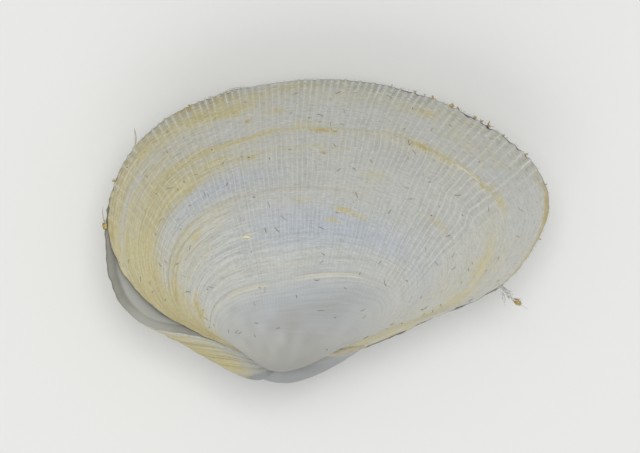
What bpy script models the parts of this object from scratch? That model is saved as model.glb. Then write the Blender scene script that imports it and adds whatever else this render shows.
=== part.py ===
"""A small clam with both valves together, lying on the belly of its left valve.

Each valve is a coiled horn.  Its edge is one smooth closed outline.  Every
earlier edge is the same outline, made smaller about the beak and turned about
the hinge line, so the growth lines follow a logarithmic spiral from the edge
back to the beak.  The walls are thin at the edge and thicker towards the beak,
whose tip is solid.

Shell axes: the hinge line is X, with the front of the animal at -X and its
rear at +X.  +Y runs from the hinge to the ventral edge, and +Z is the side of
the right valve.  The two edges meet near Z = 0.  Units are metres.
"""

import math

import bmesh
import bpy
import numpy as np
from mathutils import Matrix, Vector

# Driving dimensions
SHELL_LENGTH = 0.030
EDGE_GAP = 0.0003                    # clear space between the two edges
RIGHT_SPIRAL = 1.08                  # log of growth per radian; less makes a deeper valve
LEFT_SPIRAL = 0.90
LEFT_SWELLING = 0.0015               # how far the left valve's front flank hangs over the hinge
REST_TILT = math.radians(5.5)        # the ventral side leans down this much at rest
FOOT_DEPTH = 0.00016                 # how far the rubbed patch on the belly is worn in

# Walls, measured in the plane of a growth line
EDGE_WALL = 0.00042
BEAK_WALL = 0.00085
WALL_GAIN = 0.7                      # how soon the wall thickens behind the edge

# Turns about the hinge line, counted from the edge
CAVITY_TURN = math.radians(76.0)     # how far the hollow follows the spiral
BEAK_TURN = math.radians(166.0)      # where the outside ends at the beak
BEAK_END = math.radians(175.0)

# Rounded ends: how far a ring is drawn in towards its middle, and its turn
BEAK_CAP = ((1.00, BEAK_END), (0.70, BEAK_END), (0.34, math.radians(170.5)))
CAVITY_CAP = ((0.28, math.radians(80.0)), (0.65, math.radians(83.4)), (1.00, math.radians(85.2)))

# The swollen front flank, as a share of the way round the edge
FLANK_MIDDLE = 0.92
FLANK_REACH = 0.15
HOLLOW_FOLLOWS = math.radians(30.0)   # the hollow follows the flank up to this turn
HOLLOW_LEAVES = math.radians(66.0)    # and leaves it solid from this one

# The ligament, along X behind the beaks
LIGAMENT_START = 0.0024
LIGAMENT_END = 0.0062
LIGAMENT_WIDTH = 0.00044
LIGAMENT_CLEARANCE = 0.00034         # from the shell edge beside it

# Resolution of the faceted surfaces
SPLINE_STEPS = 40
EDGE_SEGMENTS = 56
OUTER_RINGS = 16
INNER_RINGS = 8
LIGAMENT_SEGMENTS = 8
LIGAMENT_RINGS = 9
WELD = 1.0e-7
SMOOTH_UP_TO = math.radians(40.0)

# Edge of the right valve, in shell lengths from the beak, once round from the
# hinge over the rear end, the ventral edge and the front end.
RIGHT_EDGE = (
    (0.000, 0.006), (0.106, 0.006), (0.205, 0.026), (0.365, 0.098), (0.486, 0.151),
    (0.579, 0.249), (0.612, 0.364), (0.567, 0.452), (0.455, 0.537), (0.320, 0.598),
    (0.117, 0.632), (-0.063, 0.614), (-0.198, 0.573), (-0.312, 0.493), (-0.378, 0.373),
    (-0.384, 0.285), (-0.339, 0.175), (-0.243, 0.089), (-0.153, 0.043), (-0.070, 0.010),
)

# Edge of the left valve: as the right one, but drawn out below the front end.
LEFT_EDGE = (
    (0.000, 0.006), (0.106, 0.006), (0.203, 0.024), (0.363, 0.095), (0.484, 0.149),
    (0.576, 0.249), (0.609, 0.364), (0.564, 0.450), (0.453, 0.534), (0.319, 0.595),
    (0.117, 0.629), (-0.063, 0.611), (-0.197, 0.570), (-0.310, 0.490), (-0.378, 0.373),
    (-0.391, 0.250), (-0.370, 0.147), (-0.311, 0.079), (-0.240, 0.057), (-0.153, 0.041),
    (-0.070, 0.010),
)

# Plain colours of the two materials
SHELL_LOOK = {"color": (0.56, 0.55, 0.50, 1.0), "roughness": 0.45}
LIGAMENT_LOOK = {"color": (0.30, 0.17, 0.08, 1.0), "roughness": 0.55}


class Outline:
    """A smooth closed curve through a few points, with its outward normals."""

    def __init__(self, points, count):
        """Fit a periodic cubic spline and keep `count` evenly spaced points."""
        curve = trace_spline(np.array(points) * SHELL_LENGTH)
        lengths = np.linalg.norm(np.diff(curve, axis=0), axis=1)
        travelled = np.concatenate(([0.0], np.cumsum(lengths)))
        wanted = np.arange(count) * travelled[-1] / count
        self.points = np.stack([np.interp(wanted, travelled, curve[:, axis]) for axis in (0, 1)], axis=1)
        along = np.roll(self.points, -1, axis=0) - np.roll(self.points, 1, axis=0)
        along /= np.linalg.norm(along, axis=1)[:, None]
        self.normals = np.stack([along[:, 1], -along[:, 0]], axis=1)


class Valve:
    """One valve: its edge, its spiral, and the side of the hinge that it is on."""

    def __init__(self, name, edge, spiral, side, swelling):
        """Keep the valve's shape; `side` is 1 for the right valve and -1 for the left."""
        self.name = name
        self.outline = Outline(edge, EDGE_SEGMENTS)
        self.spiral = spiral
        self.side = side
        self.swelling = swelling

    def ring(self, turn, inset=0.0, close=0.0):
        """Give the growth line at this turn, drawn in by inset and towards its middle."""
        size = math.exp(-self.spiral * turn)
        flat = self.outline.points * size - self.outline.normals * inset
        middle = flat.mean(axis=0)
        flat = middle + (flat - middle) * (1.0 - close)
        overhang = self.swelling * (1.0 - close) * max(0.0, math.sin(math.pi * turn / BEAK_TURN))
        if inset > 0.0:
            overhang *= hollow_share(turn)
        ring = []
        for index, (x, y) in enumerate(flat):
            droop = overhang * flank_share(index / EDGE_SEGMENTS)
            height = y * math.sin(turn) + EDGE_GAP / 2.0
            ring.append(Vector((x, y * math.cos(turn) - droop, self.side * height)))
        return ring

    def rings(self):
        """List every ring from the beak, over the outside and the rim, into the hollow."""
        rings = [self.ring(turn, close=close) for close, turn in BEAK_CAP]
        for step in range(OUTER_RINGS + 1):
            rings.append(self.ring(BEAK_TURN * (1.0 - step / OUTER_RINGS)))
        for step in range(INNER_RINGS + 1):
            turn = CAVITY_TURN * step / INNER_RINGS
            rings.append(self.ring(turn, inset=wall(turn)))
        rings += [self.ring(turn, inset=wall(turn), close=close) for close, turn in CAVITY_CAP]
        return rings


def trace_spline(knots):
    """Trace a closed cubic spline through the knots, as a dense polyline."""
    count = len(knots)
    following = np.roll(knots, -1, axis=0)
    spans = np.linalg.norm(following - knots, axis=1)
    slopes = (following - knots) / spans[:, None]
    system = np.zeros((count, count))
    for row in range(count):
        system[row, row - 1] = spans[row - 1]
        system[row, row] = 2.0 * (spans[row - 1] + spans[row])
        system[row, (row + 1) % count] = spans[row]
    bends = np.linalg.solve(system, 6.0 * (slopes - np.roll(slopes, 1, axis=0)))
    curve = []
    for row in range(count):
        after = (row + 1) % count
        for step in range(SPLINE_STEPS):
            share = step / SPLINE_STEPS
            rest = 1.0 - share
            lift = (rest ** 3 - rest) * bends[row] + (share ** 3 - share) * bends[after]
            curve.append(rest * knots[row] + share * knots[after] + lift * spans[row] ** 2 / 6.0)
    return np.array(curve + [curve[0]])


def flank_share(way_round):
    """Give how much of the front flank's swelling this place on the edge takes."""
    distance = abs((way_round - FLANK_MIDDLE + 0.5) % 1.0 - 0.5)
    if distance > FLANK_REACH:
        return 0.0
    return math.cos(0.5 * math.pi * distance / FLANK_REACH) ** 2


def hollow_share(turn):
    """Give how much of the front flank's swelling the hollow takes at this turn."""
    share = min(1.0, max(0.0, (HOLLOW_LEAVES - turn) / (HOLLOW_LEAVES - HOLLOW_FOLLOWS)))
    return share * share * (3.0 - 2.0 * share)


def wall(turn):
    """Give the wall's width at this turn, in the plane of the growth line."""
    share = min(1.0, turn / CAVITY_TURN)
    return EDGE_WALL + (BEAK_WALL - EDGE_WALL) * share ** WALL_GAIN


def skin(rings):
    """Stretch one grid over a list of equal rings and weld its seam and ends."""
    around = len(rings[0])
    surface = bmesh.new()
    bmesh.ops.create_grid(surface, x_segments=around, y_segments=len(rings) - 1, size=1.0)
    surface.verts.ensure_lookup_table()
    for index, vert in enumerate(surface.verts):
        row, column = divmod(index, around + 1)
        vert.co = rings[row][column % around]
    bmesh.ops.remove_doubles(surface, verts=surface.verts, dist=WELD)
    bmesh.ops.recalc_face_normals(surface, faces=surface.faces)
    return surface


def wear_foot(surface, down):
    """Cut the rubbed patch on the belly that the shell rests on."""
    lowest = max(surface.verts, key=lambda vert: vert.co.dot(down))
    patch = lowest.co - down * FOOT_DEPTH
    everything = surface.verts[:] + surface.edges[:] + surface.faces[:]
    bmesh.ops.bisect_plane(surface, geom=everything, dist=WELD, plane_co=patch,
                           plane_no=down, clear_outer=True)
    rim = [edge for edge in surface.edges if edge.is_boundary]
    bmesh.ops.edgeloop_fill(surface, edges=rim)
    bmesh.ops.recalc_face_normals(surface, faces=surface.faces)


def ligament_rings(outline):
    """List the rings of the ligament, which follows the hinge edge behind the beaks."""
    hinge = [(x, y) for x, y in outline.points if x > 0.0 and y < 0.1 * SHELL_LENGTH]
    hinge_x = [x for x, y in hinge]
    hinge_y = [y for x, y in hinge]
    rings = []
    for step in range(LIGAMENT_RINGS + 1):
        share = step / LIGAMENT_RINGS
        x = LIGAMENT_START + (LIGAMENT_END - LIGAMENT_START) * share
        radius = 0.5 * LIGAMENT_WIDTH * math.sqrt(max(0.0, math.sin(math.pi * share)))
        middle = float(np.interp(x, hinge_x, hinge_y)) - LIGAMENT_CLEARANCE - 0.5 * LIGAMENT_WIDTH
        ring = []
        for corner in range(LIGAMENT_SEGMENTS):
            angle = 2.0 * math.pi * corner / LIGAMENT_SEGMENTS
            ring.append(Vector((x, middle + radius * math.cos(angle), radius * math.sin(angle))))
        rings.append(ring)
    return rings


def finish(name, surface, look):
    """Turn a closed surface into a named object with its own material."""
    bmesh.ops.triangulate(surface, faces=surface.faces, quad_method="BEAUTY", ngon_method="BEAUTY")
    mesh = bpy.data.meshes.new(name)
    surface.to_mesh(mesh)
    surface.free()
    material = bpy.data.materials.new(name)
    material.use_nodes = True
    shader = material.node_tree.nodes["Principled BSDF"]
    shader.inputs["Base Color"].default_value = look["color"]
    shader.inputs["Roughness"].default_value = look["roughness"]
    shader.inputs["Metallic"].default_value = 0.0
    mesh.materials.append(material)
    mesh.shade_smooth()
    mesh.set_sharp_from_angle(angle=SMOOTH_UP_TO)
    piece = bpy.data.objects.new(name, mesh)
    bpy.context.collection.objects.link(piece)
    return piece


def main():
    """Build the two valves and the ligament, and lay them down together."""
    for old in list(bpy.data.objects):
        bpy.data.objects.remove(old, do_unlink=True)

    right = Valve("right_valve", RIGHT_EDGE, RIGHT_SPIRAL, side=1.0, swelling=0.0)
    left = Valve("left_valve", LEFT_EDGE, LEFT_SPIRAL, side=-1.0, swelling=LEFT_SWELLING)
    right_surface = skin(right.rings())
    left_surface = skin(left.rings())
    ligament_surface = skin(ligament_rings(left.outline))

    lean = Matrix.Rotation(-REST_TILT, 4, "X")
    wear_foot(left_surface, lean.inverted().to_3x3() @ Vector((0.0, 0.0, -1.0)))

    surfaces = (right_surface, left_surface, ligament_surface)
    leaned = np.array([lean @ vert.co for surface in surfaces for vert in surface.verts])
    low, high = leaned.min(axis=0), leaned.max(axis=0)
    to_ground = Vector((-(low[0] + high[0]) / 2.0, -(low[1] + high[1]) / 2.0, -low[2]))

    shell = bpy.data.objects.new("shell", None)
    bpy.context.collection.objects.link(shell)
    shell.matrix_world = Matrix.Translation(to_ground) @ lean
    finish(right.name, right_surface, SHELL_LOOK).parent = shell
    finish(left.name, left_surface, SHELL_LOOK).parent = shell
    finish("ligament", ligament_surface, LIGAMENT_LOOK).parent = shell


main()
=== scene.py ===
"""The looks of a small clam shell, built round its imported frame.

Both valves are remade on the growth law of the frame, fine enough to carry
their radial threads and growth lines as real relief.  A pattern coordinate
runs with them: the way round the edge (0 at the beak, over the rear end, the
ventral edge and the front end, back to 1) and the growth size (1 at the edge,
0 at the beak).  Colour, threads and stains are all drawn in it.

Shell axes: the hinge line is X, with the front of the animal at -X.  +Y runs
from the hinge to the ventral edge, and +Z is the side of the right valve.
Units are metres and radians.
"""

import logging
import math
from dataclasses import dataclass, field
from enum import Enum
from typing import Sequence, Union

import bmesh
import bpy
import numpy as np
from mathutils import Matrix, Vector


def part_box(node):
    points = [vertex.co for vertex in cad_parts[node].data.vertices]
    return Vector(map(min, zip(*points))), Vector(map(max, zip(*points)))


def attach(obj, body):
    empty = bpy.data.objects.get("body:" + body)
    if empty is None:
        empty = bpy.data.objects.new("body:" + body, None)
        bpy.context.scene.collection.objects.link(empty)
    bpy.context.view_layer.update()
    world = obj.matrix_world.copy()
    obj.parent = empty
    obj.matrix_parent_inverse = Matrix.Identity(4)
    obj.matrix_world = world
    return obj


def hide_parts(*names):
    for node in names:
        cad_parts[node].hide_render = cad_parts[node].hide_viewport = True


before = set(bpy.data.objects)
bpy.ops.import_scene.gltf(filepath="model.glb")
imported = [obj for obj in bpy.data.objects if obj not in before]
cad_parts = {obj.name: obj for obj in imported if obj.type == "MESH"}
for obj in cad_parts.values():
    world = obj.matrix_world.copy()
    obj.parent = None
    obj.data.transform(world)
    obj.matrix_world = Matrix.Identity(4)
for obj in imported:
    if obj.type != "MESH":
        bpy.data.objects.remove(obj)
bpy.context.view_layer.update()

LOG = logging.getLogger("clam_shell")

# The growth law, as the frame has it
SHELL_LENGTH = 0.030
EDGE_GAP = 0.0003
REST_TILT = math.radians(5.5)
EDGE_WALL = 0.00042
BEAK_WALL = 0.00085
WALL_GAIN = 0.7
CAVITY_TURN = math.radians(76.0)
BEAK_TURN = math.radians(166.0)
BEAK_END = math.radians(175.0)
FLANK_MIDDLE = 0.92
FLANK_REACH = 0.15
HOLLOW_FOLLOWS = math.radians(30.0)
HOLLOW_LEAVES = math.radians(66.0)
FRAME_COLUMNS = 56
FRAME_RINGS = 16
RIGHT_SPIRAL = 1.08
LEFT_SPIRAL = 0.90
LEFT_SWELLING = 0.0015

RIGHT_EDGE = (
    (0.000, 0.006), (0.106, 0.006), (0.205, 0.026), (0.365, 0.098), (0.486, 0.151),
    (0.579, 0.249), (0.612, 0.364), (0.567, 0.452), (0.455, 0.537), (0.320, 0.598),
    (0.117, 0.632), (-0.063, 0.614), (-0.198, 0.573), (-0.312, 0.493), (-0.378, 0.373),
    (-0.384, 0.285), (-0.339, 0.175), (-0.243, 0.089), (-0.153, 0.043), (-0.070, 0.010),
)
LEFT_EDGE = (
    (0.000, 0.006), (0.106, 0.006), (0.203, 0.024), (0.363, 0.095), (0.484, 0.149),
    (0.576, 0.249), (0.609, 0.364), (0.564, 0.450), (0.453, 0.534), (0.319, 0.595),
    (0.117, 0.629), (-0.063, 0.611), (-0.197, 0.570), (-0.310, 0.490), (-0.378, 0.373),
    (-0.391, 0.250), (-0.370, 0.147), (-0.311, 0.079), (-0.240, 0.057), (-0.153, 0.041),
    (-0.070, 0.010),
)

Number = Union[float, np.ndarray]
Colour = tuple[float, float, float, float]


def tone(red: int, green: int, blue: int) -> Colour:
    """Turn a colour of a paint chart into the linear colour a shader takes.

    Args:
        red: Red, from 0 to 255.
        green: Green, from 0 to 255.
        blue: Blue, from 0 to 255.

    Returns:
        The linear colour, opaque.
    """
    parts = [value / 255.0 for value in (red, green, blue)]
    linear = [((part + 0.055) / 1.055) ** 2.4 if part > 0.04045 else part / 12.92 for part in parts]
    return linear[0], linear[1], linear[2], 1.0


def smooth(share: Number) -> Number:
    """Ease a share between 0 and 1 at both ends."""
    return share * share * (3.0 - 2.0 * share)


def ease(low: float, high: float, value: Number) -> Number:
    """Rise smoothly from 0 at `low` to 1 at `high`, or fall where high is less."""
    return smooth(np.clip((value - low) / (high - low), 0.0, 1.0))


def hump(value: Number, width: float) -> Number:
    """Give a smooth bell of height 1 round 0."""
    return np.exp(-(value / width) ** 2)


def torn(way: Number, places: Sequence[tuple[float, float, float]]) -> Number:
    """Give 1 along the edge, and more near places listed by way, reach and strength."""
    return sum((more * hump(way - middle, reach) for middle, reach, more in places), 1.0)


def aside(way: Number, middle: float) -> Number:
    """Give how far a way lies past a middle, the shorter way round."""
    return (way - middle + 0.5) % 1.0 - 0.5


class Grain:
    """Smooth random values over a plane, the same on every run."""

    SIZE = 256

    def __init__(self, seed: int) -> None:
        """Fill the lattice that the values are drawn from."""
        self.lattice = np.random.default_rng(seed).uniform(-1.0, 1.0, (self.SIZE, self.SIZE))

    def at(self, across: Number, along: Number) -> np.ndarray:
        """Give the value at each point.

        Args:
            across: First coordinate, in cells.
            along: Second coordinate, in cells.

        Returns:
            Values between -1 and 1.
        """
        across, along = np.broadcast_arrays(np.asarray(across, float), np.asarray(along, float))
        column, row = np.floor(across).astype(int), np.floor(along).astype(int)
        part_x, part_y = smooth(across - column), smooth(along - row)
        left, right = column % self.SIZE, (column + 1) % self.SIZE
        low, high = row % self.SIZE, (row + 1) % self.SIZE
        first = self.lattice[low, left] * (1.0 - part_x) + self.lattice[low, right] * part_x
        second = self.lattice[high, left] * (1.0 - part_x) + self.lattice[high, right] * part_x
        return first * (1.0 - part_y) + second * part_y


@dataclass
class EdgeLine:
    """The closed outline of a valve's edge, as a smooth curve by arc length."""

    knots: Sequence[tuple[float, float]]
    steps: int = 160

    def __post_init__(self) -> None:
        """Fit a periodic cubic spline through the knots and trace it closely."""
        knots = np.array(self.knots) * SHELL_LENGTH
        curve = self.trace(knots)
        lengths = np.linalg.norm(np.diff(curve, axis=0), axis=1)
        self.ways = np.concatenate(([0.0], np.cumsum(lengths)))
        self.ways /= self.ways[-1]
        self.curve = curve
        along = np.gradient(np.concatenate((curve[-3:-1], curve, curve[1:3])), axis=0)[2:-2]
        along /= np.linalg.norm(along, axis=1)[:, None]
        self.normals = np.stack([along[:, 1], -along[:, 0]], axis=1)

    def trace(self, knots: np.ndarray) -> np.ndarray:
        """Trace the spline through the knots.

        Args:
            knots: The points to pass through, in metres.

        Returns:
            A dense polyline that ends where it starts.
        """
        count = len(knots)
        following = np.roll(knots, -1, axis=0)
        spans = np.linalg.norm(following - knots, axis=1)
        slopes = (following - knots) / spans[:, None]
        system = np.zeros((count, count))
        for row in range(count):
            system[row, row - 1] = spans[row - 1]
            system[row, row] = 2.0 * (spans[row - 1] + spans[row])
            system[row, (row + 1) % count] = spans[row]
        bends = np.linalg.solve(system, 6.0 * (slopes - np.roll(slopes, 1, axis=0)))
        share = (np.arange(self.steps) / self.steps)[:, None]
        rest = 1.0 - share
        pieces = []
        for row in range(count):
            after = (row + 1) % count
            lift = (rest ** 3 - rest) * bends[row] + (share ** 3 - share) * bends[after]
            pieces.append(rest * knots[row] + share * knots[after] + lift * spans[row] ** 2 / 6.0)
        return np.concatenate(pieces + [knots[:1]])

    def at(self, way: np.ndarray) -> tuple[np.ndarray, np.ndarray]:
        """Find points of the edge.

        Args:
            way: Ways round the edge.

        Returns:
            The points and the outward normals.
        """
        points = [np.interp(way % 1.0, self.ways, self.curve[:, axis]) for axis in (0, 1)]
        normals = [np.interp(way % 1.0, self.ways, self.normals[:, axis]) for axis in (0, 1)]
        return np.stack(points, axis=-1), np.stack(normals, axis=-1)


class Side(Enum):
    """The two valves, by the way they bulge from the plane of the edge."""

    RIGHT = 1.0
    LEFT = -1.0


@dataclass
class GrowthForm:
    """The coiled horn of one valve.

    Args:
        edge: The valve's edge.
        spiral: Log of growth per radian of turn about the hinge.
        side: Which valve it is.
        swelling: How far the front flank hangs over the hinge.
        seat: The move from the shell's axes to the shared frame.
    """

    edge: EdgeLine
    spiral: float
    side: Side
    swelling: float = 0.0
    seat: Matrix = field(default_factory=Matrix)

    def place(self, way: Number, turn: Number, inset: Number = 0.0, close: Number = 0.0) -> np.ndarray:
        """Place points of the valve's surface.

        Args:
            way: Way round the edge, one for each column.
            turn: Turn back from the edge, one for each row.
            inset: How far each row, or each point, is drawn in, in the plane of its growth line.
            close: How far each row is drawn together towards its middle.

        Returns:
            A grid of points in the shell's axes, as rows, columns and coordinates.
        """
        way, turn = np.atleast_1d(way), np.atleast_1d(turn)[:, None]
        inset = np.atleast_1d(inset)
        inset = inset[:, None] if inset.ndim == 1 else inset
        close = np.broadcast_to(np.atleast_1d(close)[:, None], turn.shape)
        points, normals = self.edge.at(way)
        flat = points[None] * np.exp(-self.spiral * turn)[..., None] - normals[None] * inset[..., None]
        middle = flat.mean(axis=1, keepdims=True)
        flat = middle + (flat - middle) * (1.0 - close)[..., None]
        distance = np.abs(aside(way, FLANK_MIDDLE))
        share = np.where(distance < FLANK_REACH, np.cos(0.5 * math.pi * distance / FLANK_REACH) ** 2, 0.0)
        overhang = self.swelling * np.maximum(0.0, np.sin(math.pi * turn / BEAK_TURN))
        across = flat[..., 0]
        followed = np.where(inset > 0.0, ease(HOLLOW_LEAVES, HOLLOW_FOLLOWS, turn), 1.0)
        out = flat[..., 1] * np.cos(turn) - overhang * (1.0 - close) * share[None] * followed
        height = self.side.value * (flat[..., 1] * np.sin(turn) + EDGE_GAP / 2.0)
        return np.stack([across, out, height], axis=-1)

    def turn_at(self, size: Number) -> Number:
        """Give the turn at which the valve had this size."""
        return -np.log(size) / self.spiral

    def point(self, way: float, size: float, lift: float = 0.0) -> Vector:
        """Give one point on or above the outside, in the shared frame.

        Args:
            way: Way round the edge.
            size: Geometric growth size.
            lift: Height above the outside.

        Returns:
            The point.
        """
        step = 0.002
        ways = np.array([way - step, way, way + step])
        sizes = np.clip(np.array([size - step, size, size + step]), 0.05, 1.0)
        grid = self.place(ways, self.turn_at(sizes))
        round_edge = grid[1, 2] - grid[1, 0]
        outward = grid[2, 1] - grid[0, 1]
        normal = np.cross(round_edge, outward) * -self.side.value
        normal /= np.linalg.norm(normal)
        return self.seat @ Vector(grid[1, 1] + normal * lift)

    def normal(self, way: float, size: float) -> Vector:
        """Give the outward direction at one point of the outside, in the shared frame."""
        return (self.point(way, size, 0.001) - self.point(way, size)).normalized()

    def seated(self, points: np.ndarray) -> np.ndarray:
        """Move points from the shell's axes to the shared frame."""
        return points @ np.array(self.seat.to_3x3()).T + np.array(self.seat.translation)


def seat_of(form: GrowthForm, node: str) -> Matrix:
    """Find the move that lays a valve where its CAD node lies.

    Args:
        form: The valve's form, in the shell's axes.
        node: Name of the CAD node.

    Returns:
        The lean and the shift, as one matrix.
    """
    lean = Matrix.Rotation(-REST_TILT, 4, "X")
    ways = np.arange(FRAME_COLUMNS) / FRAME_COLUMNS
    turns = BEAK_TURN * (1.0 - np.arange(FRAME_RINGS + 1) / FRAME_RINGS)
    leaned = form.place(ways, turns).reshape(-1, 3) @ np.array(lean.to_3x3()).T
    shift = Vector(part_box(node)[1]) - Vector(leaned.max(axis=0))
    return Matrix.Translation(shift) @ lean


def mesh_of(sheet: bmesh.types.BMesh, name: str) -> bpy.types.Mesh:
    """Turn a finished sheet into a mesh, and free the sheet.

    Args:
        sheet: The sheet.
        name: Name of the mesh.

    Returns:
        The mesh.
    """
    mesh = bpy.data.meshes.new(name)
    sheet.to_mesh(mesh)
    sheet.free()
    return mesh


def put(name: str, data: bpy.types.ID) -> bpy.types.Object:
    """Make an object from its data and put it in the scene.

    Args:
        name: Name of the object.
        data: Its mesh, lamp or camera.

    Returns:
        The object.
    """
    made = bpy.data.objects.new(name, data)
    bpy.context.scene.collection.objects.link(made)
    return made


def shaped_grid(name: str, points: np.ndarray) -> tuple[bpy.types.Mesh, np.ndarray]:
    """Make a grid mesh and move its vertices to a grid of points.

    Args:
        name: Name of the mesh.
        points: Rows, columns and coordinates.

    Returns:
        The mesh, and for each face corner the number of its vertex.
    """
    rows, columns = points.shape[:2]
    sheet = bmesh.new()
    bmesh.ops.create_grid(sheet, x_segments=columns - 1, y_segments=rows - 1, size=1.0)
    mesh = mesh_of(sheet, name)
    mesh.vertices.foreach_set("co", points.reshape(-1).astype(np.float32))
    corners = np.zeros(len(mesh.loops), np.int32)
    mesh.loops.foreach_get("vertex_index", corners)
    return mesh, corners


def add_map(mesh: bpy.types.Mesh, name: str, values: np.ndarray) -> None:
    """Give a mesh a UV map with a value for each face corner."""
    layer = mesh.uv_layers.new(name=name)
    layer.uv.foreach_set("vector", values.astype(np.float32).reshape(-1))


def weld(mesh: bpy.types.Mesh, distance: float = 2.0e-7) -> None:
    """Weld the seams and poles of a mesh, and turn its faces outwards.

    Args:
        mesh: The mesh.
        distance: How near to each other two vertices are to be welded.
    """
    skin = bmesh.new()
    skin.from_mesh(mesh)
    bmesh.ops.remove_doubles(skin, verts=skin.verts, dist=distance)
    bmesh.ops.dissolve_degenerate(skin, edges=skin.edges, dist=distance)
    bmesh.ops.recalc_face_normals(skin, faces=skin.faces)
    skin.to_mesh(mesh)
    skin.free()
    mesh.shade_smooth()


def add_piece(mesh: bpy.types.Mesh, material: bpy.types.Material) -> bpy.types.Object:
    """Make a piece of the object from a finished mesh.

    Args:
        mesh: The mesh, in the shared frame.
        material: Its finish.

    Returns:
        The piece, riding on the root body.
    """
    mesh.materials.append(material)
    piece = put(mesh.name, mesh)
    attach(piece, "root")
    LOG.info("%s: %d faces", piece.name, len(mesh.polygons))
    return piece


@dataclass(frozen=True)
class GrowthMark:
    """A growth check: a low lip along one growth line, often stained.

    Args:
        size: Growth size where it lies.
        start: Way where it starts.
        end: Way where it ends.
        height: Height of the lip.
        width: How far the lip reaches back, as growth size.
        pale: Strength of its thin pale line, which on a raised lip is partly a painted highlight.
        dark: Strength of its thin dark line.
        ochre: Strength of the rusty stain along it; on one mark it is a painted shadow beneath a raised
            check.
        yellow: Strength of the yellow tint along it.
    """

    size: float
    start: float
    end: float
    height: float = 0.0
    width: float = 0.009
    pale: float = 0.0
    dark: float = 0.0
    ochre: float = 0.0
    yellow: float = 0.0

    THIN = 0.0042
    FADE = 0.03

    def shows(self, way: np.ndarray) -> np.ndarray:
        """Give how much of the mark shows at each way."""
        rise = ease(self.start - self.FADE, self.start + self.FADE, way)
        return rise * ease(self.end + self.FADE, self.end - self.FADE, way)


@dataclass(frozen=True)
class Stain:
    """A patch of colour on the shell.

    Args:
        way: Way round the edge of its middle.
        size: Growth size of its middle.
        long: How far it reaches along the growth line, as way.
        wide: How far it reaches across, as growth size.
        ochre: Strength of the rusty stain; along the front edge partly painted shade.
        yellow: Strength of the yellow tint.
        blue: Strength of the cold, clear tint.
        grey: Strength of the dull, worn tint.
    """

    way: float
    size: float
    long: float
    wide: float
    ochre: float = 0.0
    yellow: float = 0.0
    blue: float = 0.0
    grey: float = 0.0


@dataclass
class Threads:
    """The radial threads, and how closely they stand round the edge."""

    columns_each: int = 5

    DENSITY = (
        (0.00, 45), (0.25, 50), (0.30, 80), (0.34, 106), (0.38, 124), (0.42, 140), (0.46, 166),
        (0.60, 168), (0.64, 164), (0.68, 144), (0.72, 122), (0.80, 84), (0.90, 50), (1.00, 45),
    )

    def __post_init__(self) -> None:
        """Add up the threads from the beak round to each way."""
        self.fine = np.linspace(0.0, 1.0, 4001)
        ways, densities = zip(*self.DENSITY)
        density = np.interp(self.fine, ways, densities)
        passed = 0.5 * (density[1:] + density[:-1]) * np.diff(self.fine)
        count = np.concatenate(([0.0], np.cumsum(passed)))
        self.total = int(round(count[-1]))
        self.count = count * self.total / count[-1]

    def columns(self) -> np.ndarray:
        """Give the ways of the mesh's columns, the same number to each thread."""
        steps = np.arange(self.total * self.columns_each + 1) / self.columns_each
        return np.interp(steps, self.count, self.fine)

    def phase(self, way: Number) -> Number:
        """Count the threads from the beak round to this way."""
        return np.interp(way, self.fine, self.count)

    def strength(self, way: Number) -> Number:
        """Give how clearly threads show at this way, whatever the size.

        Args:
            way: Way round the edge.

        Returns:
            0 where there are none, up to 1.
        """
        rear = ease(0.308, 0.335, way)
        front = 1.0 - 0.35 * ease(0.66, 0.72, way) - 0.65 * ease(0.76, 0.81, way)
        return rear * np.clip(front, 0.0, 1.0)


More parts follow.
